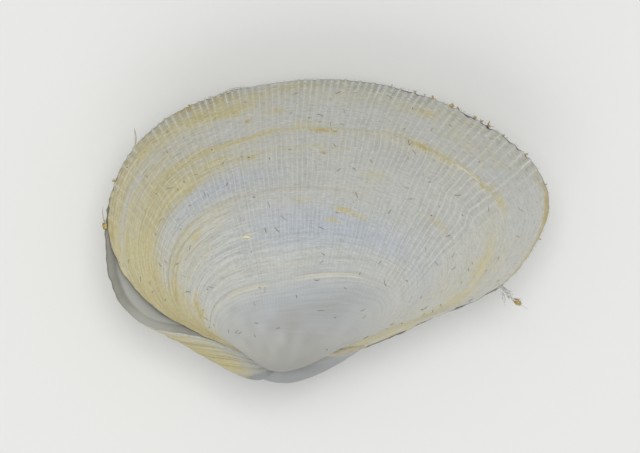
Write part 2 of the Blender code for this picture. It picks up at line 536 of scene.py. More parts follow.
@dataclass
class Surface:
    """What the outside of one valve carries: threads, growth marks and stains."""

    threads: Threads
    marks: Sequence[GrowthMark]
    stains: Sequence[Stain]
    seed: int
    front_spread: float = 0.30
    thread_height: float = 0.000017
    ripple_height: float = 0.000013
    swell_height: float = 0.000040

    def __post_init__(self) -> None:
        """Draw the random parts."""
        self.slow = Grain(self.seed)
        self.fast = Grain(self.seed + 1)
        self.each = np.random.default_rng(self.seed + 2).uniform(0.45, 1.25, self.threads.total + 2)

    def pattern_size(self, way: np.ndarray, size: np.ndarray) -> np.ndarray:
        """Give the size of the growth line at each point.

        At the front flank the lines draw apart a little.  Elsewhere the older
        lines were a little nearer the beak in front, and further from it behind.

        Args:
            way: Way round the edge of each point.
            size: Geometric growth size of each point.

        Returns:
            Size in the growth pattern.
        """
        front = np.clip((way - 0.77) / 0.15, 0.0, 1.2) * ease(1.0, 0.94, way)
        drawn = size / (1.0 + self.front_spread * front ** 2.5)
        late = (0.017 * ease(0.44, 0.50, way) + 0.013 * ease(0.57, 0.63, way)) * hump(drawn - 0.81, 0.09)
        early = 0.26 * np.clip(0.58 - way, 0.0, 0.24) * hump(drawn - 0.42, 0.12)
        wander = 0.0022 * self.slow.at(way * 17.0 + 60.0, size * 9.0)
        return drawn + late - early * ease(0.20, 0.34, way) + wander

    def bent_way(self, way: np.ndarray, size: np.ndarray) -> np.ndarray:
        """Give the way at which the thread through each point reaches the edge."""
        age = np.clip(0.83 - size, 0.0, 1.0)
        return way + (0.045 * age + 0.055 * age ** 2) * ease(0.70, 0.42, way)

    def thread_phase(self, way: np.ndarray, size: np.ndarray) -> np.ndarray:
        """Give the thread count at each point, with the waves that the threads make.

        Args:
            way: Way round the edge of each point.
            size: Size in the growth pattern.

        Returns:
            The counts, from the beak round.
        """
        bent = self.bent_way(way, size)
        wavy = ease(0.50, 0.42, bent) * ease(0.60, 0.66, size) * ease(0.85, 0.80, size)
        wave = self.slow.at(bent * 6.0, size * 24.0)
        shift = self.fast.at(bent * 30.0, size * 14.0)
        jump = 0.35 * ease(0.836, 0.829, size)
        waves = (0.42 + 0.5 * ease(0.45, 0.36, bent)) * wavy * wave + 0.16 * shift + jump
        return self.threads.phase(bent) + waves * self.threads.strength(bent)

    def thread_strength(self, way: np.ndarray, size: np.ndarray, phase: np.ndarray) -> np.ndarray:
        """Give how clearly the threads show at each point.

        Args:
            way: Way round the edge of each point.
            size: Size in the growth pattern.
            phase: Thread count.

        Returns:
            0 where there are none, up to 1.
        """
        bent = self.bent_way(way, size)
        reach = ease(0.25, 0.34, size) * (0.35 + 0.65 * ease(0.37, 0.44, size))
        front = 1.0 - 0.85 * ease(0.62, 0.70, way) * ease(0.68, 0.58, size)
        worn = 1.0 - (0.30 + 0.25 * ease(0.52, 0.43, way)) * hump(size - 0.895, 0.048)
        own = self.each[np.clip(np.floor(phase), 0, self.threads.total).astype(int)]
        patchy = 0.78 + 0.55 * self.slow.at(way * 19.0 + 3.0, size * 13.0)
        return self.threads.strength(bent) * reach * front * worn * np.clip(patchy * own, 0.0, 1.0)

    def pattern(self, way: np.ndarray, size: np.ndarray) -> tuple[np.ndarray, np.ndarray, np.ndarray]:
        """Find where each point lies in the growth pattern.

        Args:
            way: Way round the edge of each point.
            size: Geometric growth size of each point.

        Returns:
            Size in the growth pattern, thread count, and how clearly the threads show.
        """
        drawn = self.pattern_size(way, size)
        phase = self.thread_phase(way, drawn)
        return drawn, phase, self.thread_strength(way, drawn, phase)

    def relief(self, way: np.ndarray, size: np.ndarray, phase: np.ndarray, clear: np.ndarray) -> np.ndarray:
        """Give the height of the surface's own relief.

        Args:
            way: Way round the edge of each point.
            size: Size in the growth pattern.
            phase: Thread count.
            clear: How clearly the threads show.

        Returns:
            Heights above the plain form.
        """
        within = phase % 1.0 - 0.5
        height = self.thread_height * clear * hump(within, 0.17)
        ripple = self.fast.at(way * 9.0, size * 58.0) + 0.7 * self.fast.at(way * 16.0 + 7.0, size * 104.0)
        height = height + self.ripple_height * ripple * ease(0.34, 0.62, size)
        swell = self.slow.at(way * 5.0 + 11.0, size * 15.0)
        height = height + self.swell_height * swell * ease(0.28, 0.60, size)
        for mark in self.marks:
            offset = size - mark.size
            lip = np.where(offset < 0.0, hump(offset, mark.width), hump(offset, 0.35 * mark.width))
            groove = -0.45 * hump(offset - 0.9 * mark.width, 0.6 * mark.width)
            height = height + mark.height * mark.shows(way) * (lip + groove)
        return height

    def lines(self, way: np.ndarray, size: np.ndarray) -> np.ndarray:
        """Give how strongly the thin line of the nearest growth mark shows at each point.

        Args:
            way: Way round the edge of each point.
            size: Size in the growth pattern.

        Returns:
            The pale, dark, ochre and yellow strengths, in the last place.
        """
        found = np.zeros(way.shape + (4,))
        for mark in self.marks:
            patchy = 0.55 + 1.1 * self.fast.at(way * 38.0, 3.0 + 50.0 * mark.size)
            near = hump(size - mark.size, 0.011) * mark.shows(way) * np.clip(patchy, 0.0, 1.0)
            for tint, strength in enumerate((mark.pale, mark.dark, mark.ochre, mark.yellow)):
                found[..., tint] += strength * near
        return np.clip(found, 0.0, 1.0)

    def stain(self, way: np.ndarray, size: np.ndarray) -> np.ndarray:
        """Give the ochre, yellow, blue and grey tints of each point, from 0 to 1.

        Args:
            way: Way round the edge of each point.
            size: Size in the growth pattern.

        Returns:
            The four tints, in the last place.
        """
        tints = np.zeros(way.shape + (4,))
        for mark in self.marks:
            band = hump(size - mark.size, 1.6 * mark.width) * mark.shows(way)
            tints[..., 0] += 0.22 * mark.ochre * band
            tints[..., 1] += 0.45 * mark.yellow * band
        for patch in self.stains:
            distance = (aside(way, patch.way) / patch.long) ** 2 + ((size - patch.size) / patch.wide) ** 2
            rough = 1.0 + 0.35 * self.slow.at(way * 30.0, size * 26.0)
            amount = np.exp(-distance * rough)
            for tint, strength in enumerate((patch.ochre, patch.yellow, patch.blue, patch.grey)):
                tints[..., tint] += strength * amount
        return np.clip(tints, 0.0, 1.0)


class Wire:
    """One value inside a shader, with arithmetic that adds its Math nodes."""

    def __init__(self, board: "Board", socket: bpy.types.NodeSocket) -> None:
        """Wrap a socket of the board."""
        self.board = board
        self.socket = socket

    def __add__(self, other: "Value") -> "Wire":
        """Add."""
        return self.board.math("ADD", self, other)

    def __radd__(self, other: "Value") -> "Wire":
        """Add, from the right."""
        return self.board.math("ADD", other, self)

    def __sub__(self, other: "Value") -> "Wire":
        """Subtract."""
        return self.board.math("SUBTRACT", self, other)

    def __rsub__(self, other: "Value") -> "Wire":
        """Subtract from a number."""
        return self.board.math("SUBTRACT", other, self)

    def __mul__(self, other: "Value") -> "Wire":
        """Multiply."""
        return self.board.math("MULTIPLY", self, other)

    def __rmul__(self, other: "Value") -> "Wire":
        """Multiply, from the right."""
        return self.board.math("MULTIPLY", other, self)

    def __abs__(self) -> "Wire":
        """Drop the sign."""
        return self.board.math("ABSOLUTE", self)

    def __mod__(self, other: "Value") -> "Wire":
        """Give the floored remainder."""
        return self.board.math("FLOORED_MODULO", self, other)

    def clamped(self) -> "Wire":
        """Keep the value between 0 and 1."""
        return self.board.math("ADD", self, 0.0, clamp=True)


Value = Union[Wire, float, tuple]


class Board:
    """The node tree of one finish."""

    def __init__(self, name: str) -> None:
        """Make a material whose tree holds only its shader and output.

        Args:
            name: Name of the material.
        """
        self.material = bpy.data.materials.new(name)
        self.material.use_nodes = True
        self.tree = self.material.node_tree
        self.shader = self.tree.nodes["Principled BSDF"]

    def node(self, kind: str, settings: dict | None = None, sockets: dict | None = None) -> bpy.types.Node:
        """Add a node.

        Args:
            kind: Type of the node.
            settings: Its own settings, set first.
            sockets: Values or wires of its inputs, by name or place.

        Returns:
            The node.
        """
        made = self.tree.nodes.new(kind)
        for name, value in (settings or {}).items():
            setattr(made, name, value)
        for name, value in (sockets or {}).items():
            self.join(value, made.inputs[name])
        return made

    def join(self, value: Value, socket: bpy.types.NodeSocket) -> None:
        """Lead a wire to an input, or set the input's own value.

        Args:
            value: The wire or the value.
            socket: The input.
        """
        if isinstance(value, Wire):
            self.tree.links.new(value.socket, socket)
        else:
            socket.default_value = value

    def wire(self, node: bpy.types.Node, output: int | str = 0) -> Wire:
        """Wrap one output of a node."""
        return Wire(self, node.outputs[output])

    def math(self, operation: str, first: Value, second: Value = 0.0, clamp: bool = False) -> Wire:
        """Add a Math node and give its result."""
        settings = {"operation": operation, "use_clamp": clamp}
        return self.wire(self.node("ShaderNodeMath", settings, {0: first, 1: second}))

    def ease(self, low: float, high: float, value: Value) -> Wire:
        """Rise smoothly from 0 at `low` to 1 at `high`, or fall where high is less.

        Args:
            low: Where the result is 0.
            high: Where the result is 1.
            value: What to compare with them.

        Returns:
            The result.
        """
        settings = {"interpolation_type": "SMOOTHSTEP"}
        if low > high:
            sockets = {"Value": value, "From Min": high, "From Max": low, "To Min": 1.0, "To Max": 0.0}
        else:
            sockets = {"Value": value, "From Min": low, "From Max": high}
        return self.wire(self.node("ShaderNodeMapRange", settings, sockets))

    def peaks(self, places: Sequence[float], before: float, after: float, value: Value) -> Wire:
        """Give a value that peaks sharply at each of these places and is 0 between them.

        Args:
            places: Where the peaks stand, between 0 and 1.
            before: How far a peak reaches towards 0.
            after: How far it reaches towards 1.
            value: What to compare with the places.

        Returns:
            The peaks.
        """
        most = 10
        total = None
        for first in range(0, len(places), most):
            ramp = self.node("ShaderNodeValToRGB", sockets={0: value})
            stops = ramp.color_ramp.elements
            stops[0].position, stops[0].color = 0.0, (0.0, 0.0, 0.0, 1.0)
            stops[1].position, stops[1].color = 1.0, (0.0, 0.0, 0.0, 1.0)
            for place in sorted(places)[first:first + most]:
                for position, level in ((place - before, 0.0), (place, 1.0), (place + after, 0.0)):
                    stops.new(position).color = (level, level, level, 1.0)
            part = self.wire(ramp)
            total = part if total is None else total + part
        return total

    def mix(self, share: Value, first: Value, second: Value) -> Wire:
        """Mix two colours."""
        settings = {"data_type": "RGBA", "clamp_factor": True}
        return self.wire(self.node("ShaderNodeMix", settings, {0: share, 6: first, 7: second}), 2)

    def map(self, name: str) -> tuple[Wire, Wire]:
        """Read a UV map.

        Args:
            name: Name of the map.

        Returns:
            Its two values.
        """
        source = self.node("ShaderNodeUVMap", {"uv_map": name})
        parts = self.node("ShaderNodeSeparateXYZ", sockets={0: self.wire(source)})
        return self.wire(parts, 0), self.wire(parts, 1)

    def attribute(self, name: str) -> tuple[Wire, Wire, Wire, Wire, Wire]:
        """Read an attribute.

        Args:
            name: Name of the attribute.

        Returns:
            Its three colours, its alpha and its plain value.
        """
        source = self.node("ShaderNodeAttribute", {"attribute_name": name})
        parts = self.node("ShaderNodeSeparateColor", sockets={0: self.wire(source, "Color")})
        colours = [self.wire(parts, place) for place in range(3)]
        return colours[0], colours[1], colours[2], self.wire(source, "Alpha"), self.wire(source, "Fac")

    def object_place(self) -> tuple[Wire, Wire, Wire, Wire]:
        """Read the place on the object.

        Returns:
            The place as a vector, and its three values.
        """
        source = self.wire(self.node("ShaderNodeTexCoord"), "Object")
        parts = self.node("ShaderNodeSeparateXYZ", sockets={0: source})
        return source, self.wire(parts, 0), self.wire(parts, 1), self.wire(parts, 2)

    def vector(self, first: Value, second: Value, third: Value) -> Wire:
        """Join three values into a vector."""
        return self.wire(self.node("ShaderNodeCombineXYZ", sockets={0: first, 1: second, 2: third}))

    def noise(self, vector: Wire, scale: float, detail: float = 2.0, roughness: float = 0.5) -> Wire:
        """Give a smooth random value round 0.5 at each place."""
        sockets = {"Vector": vector, "Scale": scale, "Detail": detail, "Roughness": roughness}
        return self.wire(self.node("ShaderNodeTexNoise", {"noise_dimensions": "3D"}, sockets), 0)

    def bump(self, height: Value, distance: float) -> Wire:
        """Turn a height into a normal."""
        return self.wire(self.node("ShaderNodeBump", sockets={"Height": height, "Distance": distance}))

    def finish(self, **sockets: Value) -> bpy.types.Material:
        """Set the shader's sockets and give the material.

        Args:
            **sockets: Values or wires, by socket name with _ for a space.

        Returns:
            The material.
        """
        for name, value in sockets.items():
            self.join(value, self.shader.inputs[name.replace("_", " ")])
        return self.material


@dataclass(frozen=True)
class ShellFinish:
    """The chalky outside and the smooth inside of a valve.

    Args:
        checks: Growth sizes at which thin lines stand.
    """

    checks: tuple[float, ...]
    chalk: Colour = tone(187, 188, 183)
    warm: Colour = tone(190, 187, 167)
    cold: Colour = tone(174, 182, 195)
    clear: Colour = tone(144, 147, 140)
    dull: Colour = tone(152, 151, 145)
    yellow: Colour = tone(193, 182, 126)
    gold: Colour = tone(176, 162, 99)
    ochre: Colour = tone(171, 153, 100)
    thread: Colour = tone(212, 214, 206)
    # lip: the cream of the pale growth lines, which on the raised checks also serves as a painted highlight
    lip: Colour = tone(228, 224, 196)
    # inside is painted light for the shaded hollow, margin is the lining's own tone, and rim is painted shade
    # for the rim that faces the light
    inside: Colour = tone(232, 234, 230)
    margin: Colour = tone(171, 172, 164)
    rim: Colour = tone(124, 124, 113)

    SCARS = ((0.285, 0.042), (0.765, 0.036))
    SCAR_SIZE = 0.84
    SCAR_REACH = 0.055
    MANTLE_SIZE = 0.885

    def make(self, name: str) -> bpy.types.Material:
        """Build the material.

        Args:
            name: Name of the material.

        Returns:
            The material.
        """
        board = Board(name)
        place, across, along, _ = board.object_place()
        way, size = board.map("Growth")
        phase, clear = board.map("Threads")
        ochre, yellow, blue, grey, _ = board.attribute("Stain")
        pale_line, dark_line, ochre_line, yellow_line, _ = board.attribute("Lines")
        inner = board.attribute("Inside")[4]
        outside = 1.0 - inner

        def banded(rate: float, spread: float, detail: float, roughness: float) -> Wire:
            """Give noise that is drawn out along the growth lines."""
            drawn_out = board.vector(size * rate, across * spread, along * spread)
            return board.noise(drawn_out, 1.0, detail, roughness)

        bands = banded(95.0, 260.0, 3.0, 0.6)
        lines = banded(215.0, 330.0, 2.0, 0.6)
        hairlines = banded(420.0, 500.0, 2.0, 0.5)
        stripes = banded(26.0, 150.0, 3.0, 0.7)
        grain = banded(330.0, 2400.0, 3.0, 0.7)
        streaks = board.noise(board.vector(phase * 3.0, size * 24.0, 0.5), 1.0, 3.0, 0.6)
        cloud = board.noise(place, 420.0, 3.0)
        blotch = board.noise(place, 1500.0, 3.0, 0.65)
        grit = board.noise(place, 6400.0, 3.0, 0.7)
        thin = board.peaks(self.checks, GrowthMark.THIN, 0.5 * GrowthMark.THIN, size)
        under = board.peaks([check + 0.006 for check in self.checks], 0.0035, 0.0045, size)

        across_thread = abs(phase % 1.0 - 0.5)
        crest = board.ease(0.13, 0.02, across_thread) * clear
        valley = board.ease(0.14, 0.30, across_thread) * clear
        flank = board.ease(0.82, 0.88, way)
        rows = (board.ease(0.58, 0.72, way) + board.ease(0.55, 0.40, size) * 0.6 + 0.30).clamped()
        rows = rows * board.ease(0.20, 0.48, size) * outside
        dusty = board.ease(0.40, 0.62, grit)
        lined = board.ease(0.40, 0.64, lines)
        rim = board.ease(0.958, 0.975, size) * clear
        rim = rim * board.ease(0.78, 0.72, way) * board.ease(0.34, 0.46, way)
        older = board.ease(0.30, 0.46, size)
        young = board.ease(0.940, 0.970, size) * board.ease(0.26, 0.36, way)
        fringe = board.ease(0.17, 0.06, abs(phase * 2.0 % 1.0 - 0.5)) * young * clear
        speck = grit * 0.32 + grain * 0.68
        mottle = (blotch - 0.5) * 1.3 + (grit - 0.5) * 2.1

        tinted = board.ease(0.10, 1.05, yellow + mottle * 0.80) * 0.78 + yellow * 0.24
        golden = board.ease(0.46, 0.64, bands) * lined * 0.75
        golden = golden + board.ease(0.46, 0.62, stripes) * flank * 0.9
        # Ochre: rusty stains, and in a few places painted shade along the front edge and beneath a raised
        # check
        rust_and_painted_shade = board.ease(0.34, 0.80, ochre + mottle * 0.75) * board.ease(0.02, 0.16, ochre)
        rust_and_painted_shade = rust_and_painted_shade * 0.72 + ochre_line * thin * dusty
        shade = board.mix(yellow * 0.8, self.dull, self.ochre)
        dark_specks = board.ease(0.49, 0.38, speck) * older
        pale_specks = board.ease(0.54, 0.66, speck) * older
        colour = board.mix(board.ease(0.38, 0.72, cloud) * 0.30, self.chalk, self.warm)
        layers = (
            (blue, self.cold),
            (grey, self.dull),
            ((tinted * (lined * 0.30 + 0.78)).clamped(), self.yellow),
            ((golden * yellow * (dusty * 0.6 + 0.4)).clamped(), self.gold),
            (valley * (young * 0.34 + 0.15) + rim * 0.36, self.clear),
            (board.ease(0.55, 0.35, streaks) * clear * 0.34, self.clear),
            (crest * (young * 0.28 + rim * 0.1 + 0.62), self.thread),
            (fringe * 0.30, self.thread),
            (lined * rows * 0.25, self.thread),
            (board.ease(0.48, 0.30, lines) * rows * 0.30, self.clear),
            (board.ease(0.55, 0.35, hairlines) * rows * 0.16, self.clear),
            (rust_and_painted_shade.clamped(), self.ochre),
            (under * dark_line * 0.75, self.dull),
            (thin * yellow_line * (dusty * 0.7 + 0.3), self.yellow),
            # The pale lines: the shell's own, and on the raised checks partly a painted highlight along the
            # lip
            (thin * pale_line, self.lip),
            (dark_specks * (yellow * 0.25 + young * 0.30 + 0.46), shade),
            (pale_specks * (young * 0.30 + 0.48), self.thread),
        )
        for share, tint in layers:
            colour = board.mix(share, colour, tint)
        scars = self.scars(board, way, size)
        colour = board.mix(inner, colour, self.lining(board, way, size, scars))

        height = (bands * 0.30 + lines * 0.45 + hairlines * 0.25) * (rows * 0.8 + 0.2)
        height = height + grit * 0.12 + grain * 0.20 + crest * 0.35 + streaks * clear * 0.2
        height = height + thin * (pale_line + yellow_line) * 0.9
        normal = board.bump(height * outside, 0.000040)
        roughness = 0.52 + board.ease(0.3, 0.7, blotch) * 0.10 - inner * (scars * 0.08 + 0.18) - grey * 0.06
        return board.finish(
            Base_Color=colour, Roughness=roughness, Normal=normal, Metallic=0.0, Specular_IOR_Level=0.42
        )

    def scars(self, board: Board, way: Wire, size: Wire) -> Wire:
        """Find where the muscle scars and the mantle line lie inside.

        Args:
            board: The node tree of the finish.
            way: Way round the edge.
            size: Size in the growth pattern.

        Returns:
            1 on a scar, less on the line and 0 elsewhere.
        """
        mantle = board.ease(0.010, 0.004, abs(size - self.MANTLE_SIZE))
        mantle = mantle * board.ease(0.30, 0.32, way) * board.ease(0.75, 0.73, way)
        found = mantle * 0.7
        for middle, reach in self.SCARS:
            past = (way - middle) * (1.0 / reach)
            down = (size - self.SCAR_SIZE) * (1.0 / self.SCAR_REACH)
            found = found + board.ease(1.15, 0.90, past * past + down * down)
        return found.clamped()

    def lining(self, board: Board, way: Wire, size: Wire, scars: Wire) -> Wire:
        """Colour the inside, from the rim to the depth of the hollow, with painted shade on the rim and
        painted light in the hollow.

        Args:
            board: The node tree of the finish.
            way: Way round the edge.
            size: Size in the growth pattern.
            scars: Where the scars lie.

        Returns:
            The colour.
        """
        # Painted shade: the rim is darkened where it faces the light, a little less on part of the front end
        eased_rim_shade = board.ease(0.845, 0.875, way) * board.ease(0.925, 0.885, way) * 0.44
        edge = board.mix(board.ease(0.995, 0.982, size), board.mix(eased_rim_shade, self.rim, self.margin), self.margin)
        # Painted light: towards the depth the hollow turns to the pale inside colour, which brightens it
        # where it lies in shade
        hollow = board.mix(board.ease(0.96, 0.86, size), edge, self.inside)
        return board.mix(scars * 0.35, hollow, self.margin)


@dataclass
class Valve:
    """One valve of the shell."""

    name: str
    node: str
    form: GrowthForm
    surface: Surface
    outer_step: float = 0.0058
    umbo_size: float = 0.25
    umbo_rows: int = 20
    inner_rows: int = 22
    ragged: float = 0.000085
    shelf: float = 0.0

    # The rows: where the rim's own begin, how the hollow's crowd towards it, and which lie inside
    OUTER_END = 0.986
    CROWDING = 1.4
    LIP_INSET = 0.00004
    RIM = ((0.010, 0.0), (0.004, 0.000012), (0.0, 0.00006), (0.0, 0.00016), (0.0, EDGE_WALL))
    BEAK = ((1.00, BEAK_END), (0.85, BEAK_END), (0.65, math.radians(174.0)), (0.34, math.radians(170.5)))
    CAVITY = ((0.28, math.radians(80.0)), (0.65, math.radians(83.4)), (1.00, math.radians(85.2)))

    # Where the edge is more ragged, and how far the threads' ends stand out of it
    RAGGED_PLACES = ((0.39, 0.07, 1.2), (0.15, 0.06, 0.5))
    TEETH = 1.8

    # The strips of the bake map, as shares of its height, and its margin and width
    VENTRAL_BASE = 0.605
    HINGE_BASE = 0.205
    OUTER_TALL = 0.385
    HOLLOW_TALL = 0.18
    BAKE_MARGIN = 0.01
    BAKE_WIDTH = 0.98

    def rows(self) -> np.ndarray:
        """List the rows from the beak over the outside and the rim into the hollow.

        Returns:
            For each row its turn, inset, closing and whether it is inside.
        """
        listed = [(turn, 0.0, close, 0.0) for close, turn in self.BEAK]
        smallest = math.exp(-self.form.spiral * BEAK_TURN)
        umbo = np.linspace(smallest, self.umbo_size, self.umbo_rows, endpoint=False)
        outer = np.linspace(self.umbo_size, 1.0, int(round((1.0 - self.umbo_size) / self.outer_step)))
        sizes = [size for size in np.concatenate((umbo, outer)) if size < self.OUTER_END]
        listed += [(float(self.form.turn_at(size)), 0.0, 0.0, 0.0) for size in sizes]
        listed += [(turn, inset, 0.0, 0.0 if inset < self.LIP_INSET else 1.0) for turn, inset in self.RIM]
        for step in range(1, self.inner_rows + 1):
            turn = CAVITY_TURN * (step / self.inner_rows) ** self.CROWDING
            listed.append((turn, self.wall(turn), 0.0, 1.0))
        listed += [(turn, self.wall(turn), close, 1.0) for close, turn in self.CAVITY]
        return np.array(listed)

    @staticmethod
    def wall(turn: float) -> float:
        """Give the wall's width at this turn, in the plane of the growth line."""
        return EDGE_WALL + (BEAK_WALL - EDGE_WALL) * min(1.0, turn / CAVITY_TURN) ** WALL_GAIN

    def insets(self, rows: np.ndarray, way: np.ndarray) -> np.ndarray:
        """Give how far each point is drawn in, with the shelf that thickens the wall in front.

        Args:
            rows: The rows, as listed by rows().
            way: Way of each column.

        Returns:
            A grid of insets.
        """
        turn, inset, close, inner = rows.T
        behind_rim = inner * (inset > 0.9 * EDGE_WALL) * (close == 0.0)
        ramp = behind_rim * ease(-0.02, 0.10, turn) * ease(0.80, 0.25, turn)
        front = ease(0.66, 0.80, way) * ease(1.0, 0.93, way)
        return inset[:, None] + self.shelf * ramp[:, None] * front[None]

    def build(self, material: bpy.types.Material) -> bpy.types.Object:
        """Build the valve's mesh, with its relief, maps and attributes.

        Args:
            material: The shell's finish.

        Returns:
            The piece.
        """
        rows, way = self.rows(), self.surface.threads.columns()
        turn, _, close, inner = rows.T
        points = self.form.place(way, turn, self.insets(rows, way), close)
        turn, inner = turn[:, None], inner[:, None]
        ways = np.broadcast_to(way[None], points.shape[:2])
        size = np.broadcast_to(np.exp(-self.form.spiral * turn), points.shape[:2])
        drawn, phase, clear = self.surface.pattern(ways, size)
        points = self.carve(points, ways, size, drawn, phase, clear, inner)
        world = self.form.seated(points)
        world[..., 2] = np.maximum(world[..., 2], 0.0)

        mesh, corners = shaped_grid(self.name, world)
        flat = [np.asarray(values).reshape(-1) for values in (ways, drawn, phase, clear)]
        add_map(mesh, "OFBake", self.bake_map(corners, way, rows))
        add_map(mesh, "Growth", np.stack([flat[0][corners], flat[1][corners]], axis=1))
        add_map(mesh, "Threads", np.stack([flat[2][corners], flat[3][corners]], axis=1))
        for name, tints in (("Stain", self.surface.stain), ("Lines", self.surface.lines)):
            layer = mesh.attributes.new(name, "FLOAT_COLOR", "POINT")
            layer.data.foreach_set("color", tints(ways, drawn).astype(np.float32).reshape(-1))
        inside = mesh.attributes.new("Inside", "FLOAT", "POINT")
        inside.data.foreach_set("value", np.broadcast_to(inner, ways.shape).astype(np.float32).reshape(-1))
        weld(mesh)
        piece = add_piece(mesh, material)
        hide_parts(self.node)
        return piece

    @staticmethod
    def clear_of_hinge(ways: np.ndarray) -> np.ndarray:
        """Give 1 along the edge, falling to 0 at the hinge."""
        return ease(0.0, 0.05, ways) * ease(1.0, 0.95, ways)

    def relief_share(self, ways: np.ndarray, size: np.ndarray) -> np.ndarray:
        """Give how much of the relief each point keeps; it fades towards beak and hinge."""
        return ease(0.20, 0.36, size) * self.clear_of_hinge(ways)

    def skin(self, way: float, size: float) -> tuple[Vector, Vector, Vector]:
        """Find a place on the carved outside, for something to lie on.

        Args:
            way: Way round the edge.
            size: Geometric growth size.

        Returns:
            The point, the outward direction and the direction round the edge.
        """
        ways, sizes = np.array([[way]]), np.array([[size]])
        drawn, phase, clear = self.surface.pattern(ways, sizes)
        height = self.surface.relief(ways, drawn, phase, clear) * self.relief_share(ways, sizes)
        point, normal = self.form.point(way, size), self.form.normal(way, size)
        round_edge = (self.form.point(way + 0.002, size) - point).normalized()
        return point + normal * float(height[0, 0]), normal, round_edge

    def carve(
        self,
        points: np.ndarray,
        ways: np.ndarray,
        size: np.ndarray,
        drawn: np.ndarray,
        phase: np.ndarray,
        clear: np.ndarray,
        inner: np.ndarray,
    ) -> np.ndarray:
        """Raise the relief from the plain form, and fray the edge a little.

        Args:
            points: The plain form.
            ways: Way round the edge of each point.
            size: Geometric growth size.
            drawn: Size in the growth pattern.
            phase: Thread count.
            clear: How clearly the threads show.
            inner: 1 inside the rim and in the hollow.

        Returns:
            The carved points.
        """
        ring = points[:, :-1]
        along_edge = np.roll(ring, -1, axis=1) - np.roll(ring, 1, axis=1)
        along_edge = np.concatenate((along_edge, along_edge[:, :1]), axis=1)
        outward = np.gradient(points, axis=0)
        normal = np.cross(along_edge, outward) * -self.form.side.value
        normal /= np.maximum(np.linalg.norm(normal, axis=2, keepdims=True), 1.0e-12)
        height = self.surface.relief(ways, drawn, phase, clear)
        points = points + normal * (height * (1.0 - inner) * self.relief_share(ways, size))[..., None]
        teeth = clear * (hump(phase % 1.0 - 0.5, 0.2) - 0.3)
        nicks = self.surface.fast.at(ways * 190.0, 9.5) + 0.6 * self.surface.slow.at(ways * 60.0, 2.5)
        fray = self.ragged * (nicks * torn(ways, self.RAGGED_PLACES) + self.TEETH * teeth)
        stretch = fray * ease(0.970, 1.0, size) * (1.0 - 0.5 * inner) * self.clear_of_hinge(ways)
        _, outside = self.form.edge.at(ways[0])
        points[..., :2] += outside[None] * stretch[..., None]
        return points

    def bake_map(self, corners: np.ndarray, way: np.ndarray, rows: np.ndarray) -> np.ndarray:
        """Lay the surface out flat: ventral half, hinge half and the hollow, one above another.

        Args:
            corners: For each face corner the number of its vertex.
            way: Way of each column.
            rows: The rows, as listed by rows().

        Returns:
            A place on the square for each face corner.
        """
        column, row = corners % len(way), corners // len(way)
        faces = column.reshape(-1, 4)
        first = np.repeat(faces.min(axis=1), 4)
        first_row = np.repeat(row.reshape(-1, 4).min(axis=1), 4)
        rim = int(np.argmax(rows[:, 3] > 0.5))
        middle = 0.5 * (way[first] + way[np.minimum(first + 1, len(way) - 1)])
        ventral = (middle > 0.25) & (middle < 0.75)
        outer = first_row < rim
        past_hinge = np.where(middle < 0.5, way[column] + 0.25, way[column] - 0.75)
        around = np.where(ventral, (way[column] - 0.25) / 0.5, past_hinge / 0.5)
        outer_share = np.minimum(row, rim) / rim
        inner_share = (row - rim) / (len(rows) - 1 - rim)
        up_outer = np.where(ventral, self.VENTRAL_BASE, self.HINGE_BASE) + self.OUTER_TALL * outer_share
        up_inner = self.BAKE_MARGIN + self.HOLLOW_TALL * np.clip(inner_share, 0.0, 1.0)
        left = self.BAKE_MARGIN + self.BAKE_WIDTH * np.where(outer, around, way[column])
        return np.stack([left, np.where(outer, up_outer, up_inner)], axis=1)


@dataclass(frozen=True)
class MattFinish:
    """A matt finish in two blotchy tones, for the small things stuck to the shell."""

    main: Colour
    other: Colour
    roughness: float = 0.75

    def make(self, name: str) -> bpy.types.Material:
        """Build the material.

        Args:
            name: Name of the material.

        Returns:
            The material.
        """
        board = Board(name)
        place = board.object_place()[0]
        blotch = board.noise(place, 5200.0, 2.0, 0.6)
        colour = board.mix(board.ease(0.42, 0.60, blotch), self.main, self.other)
        return board.finish(Base_Color=colour, Roughness=self.roughness, Metallic=0.0)


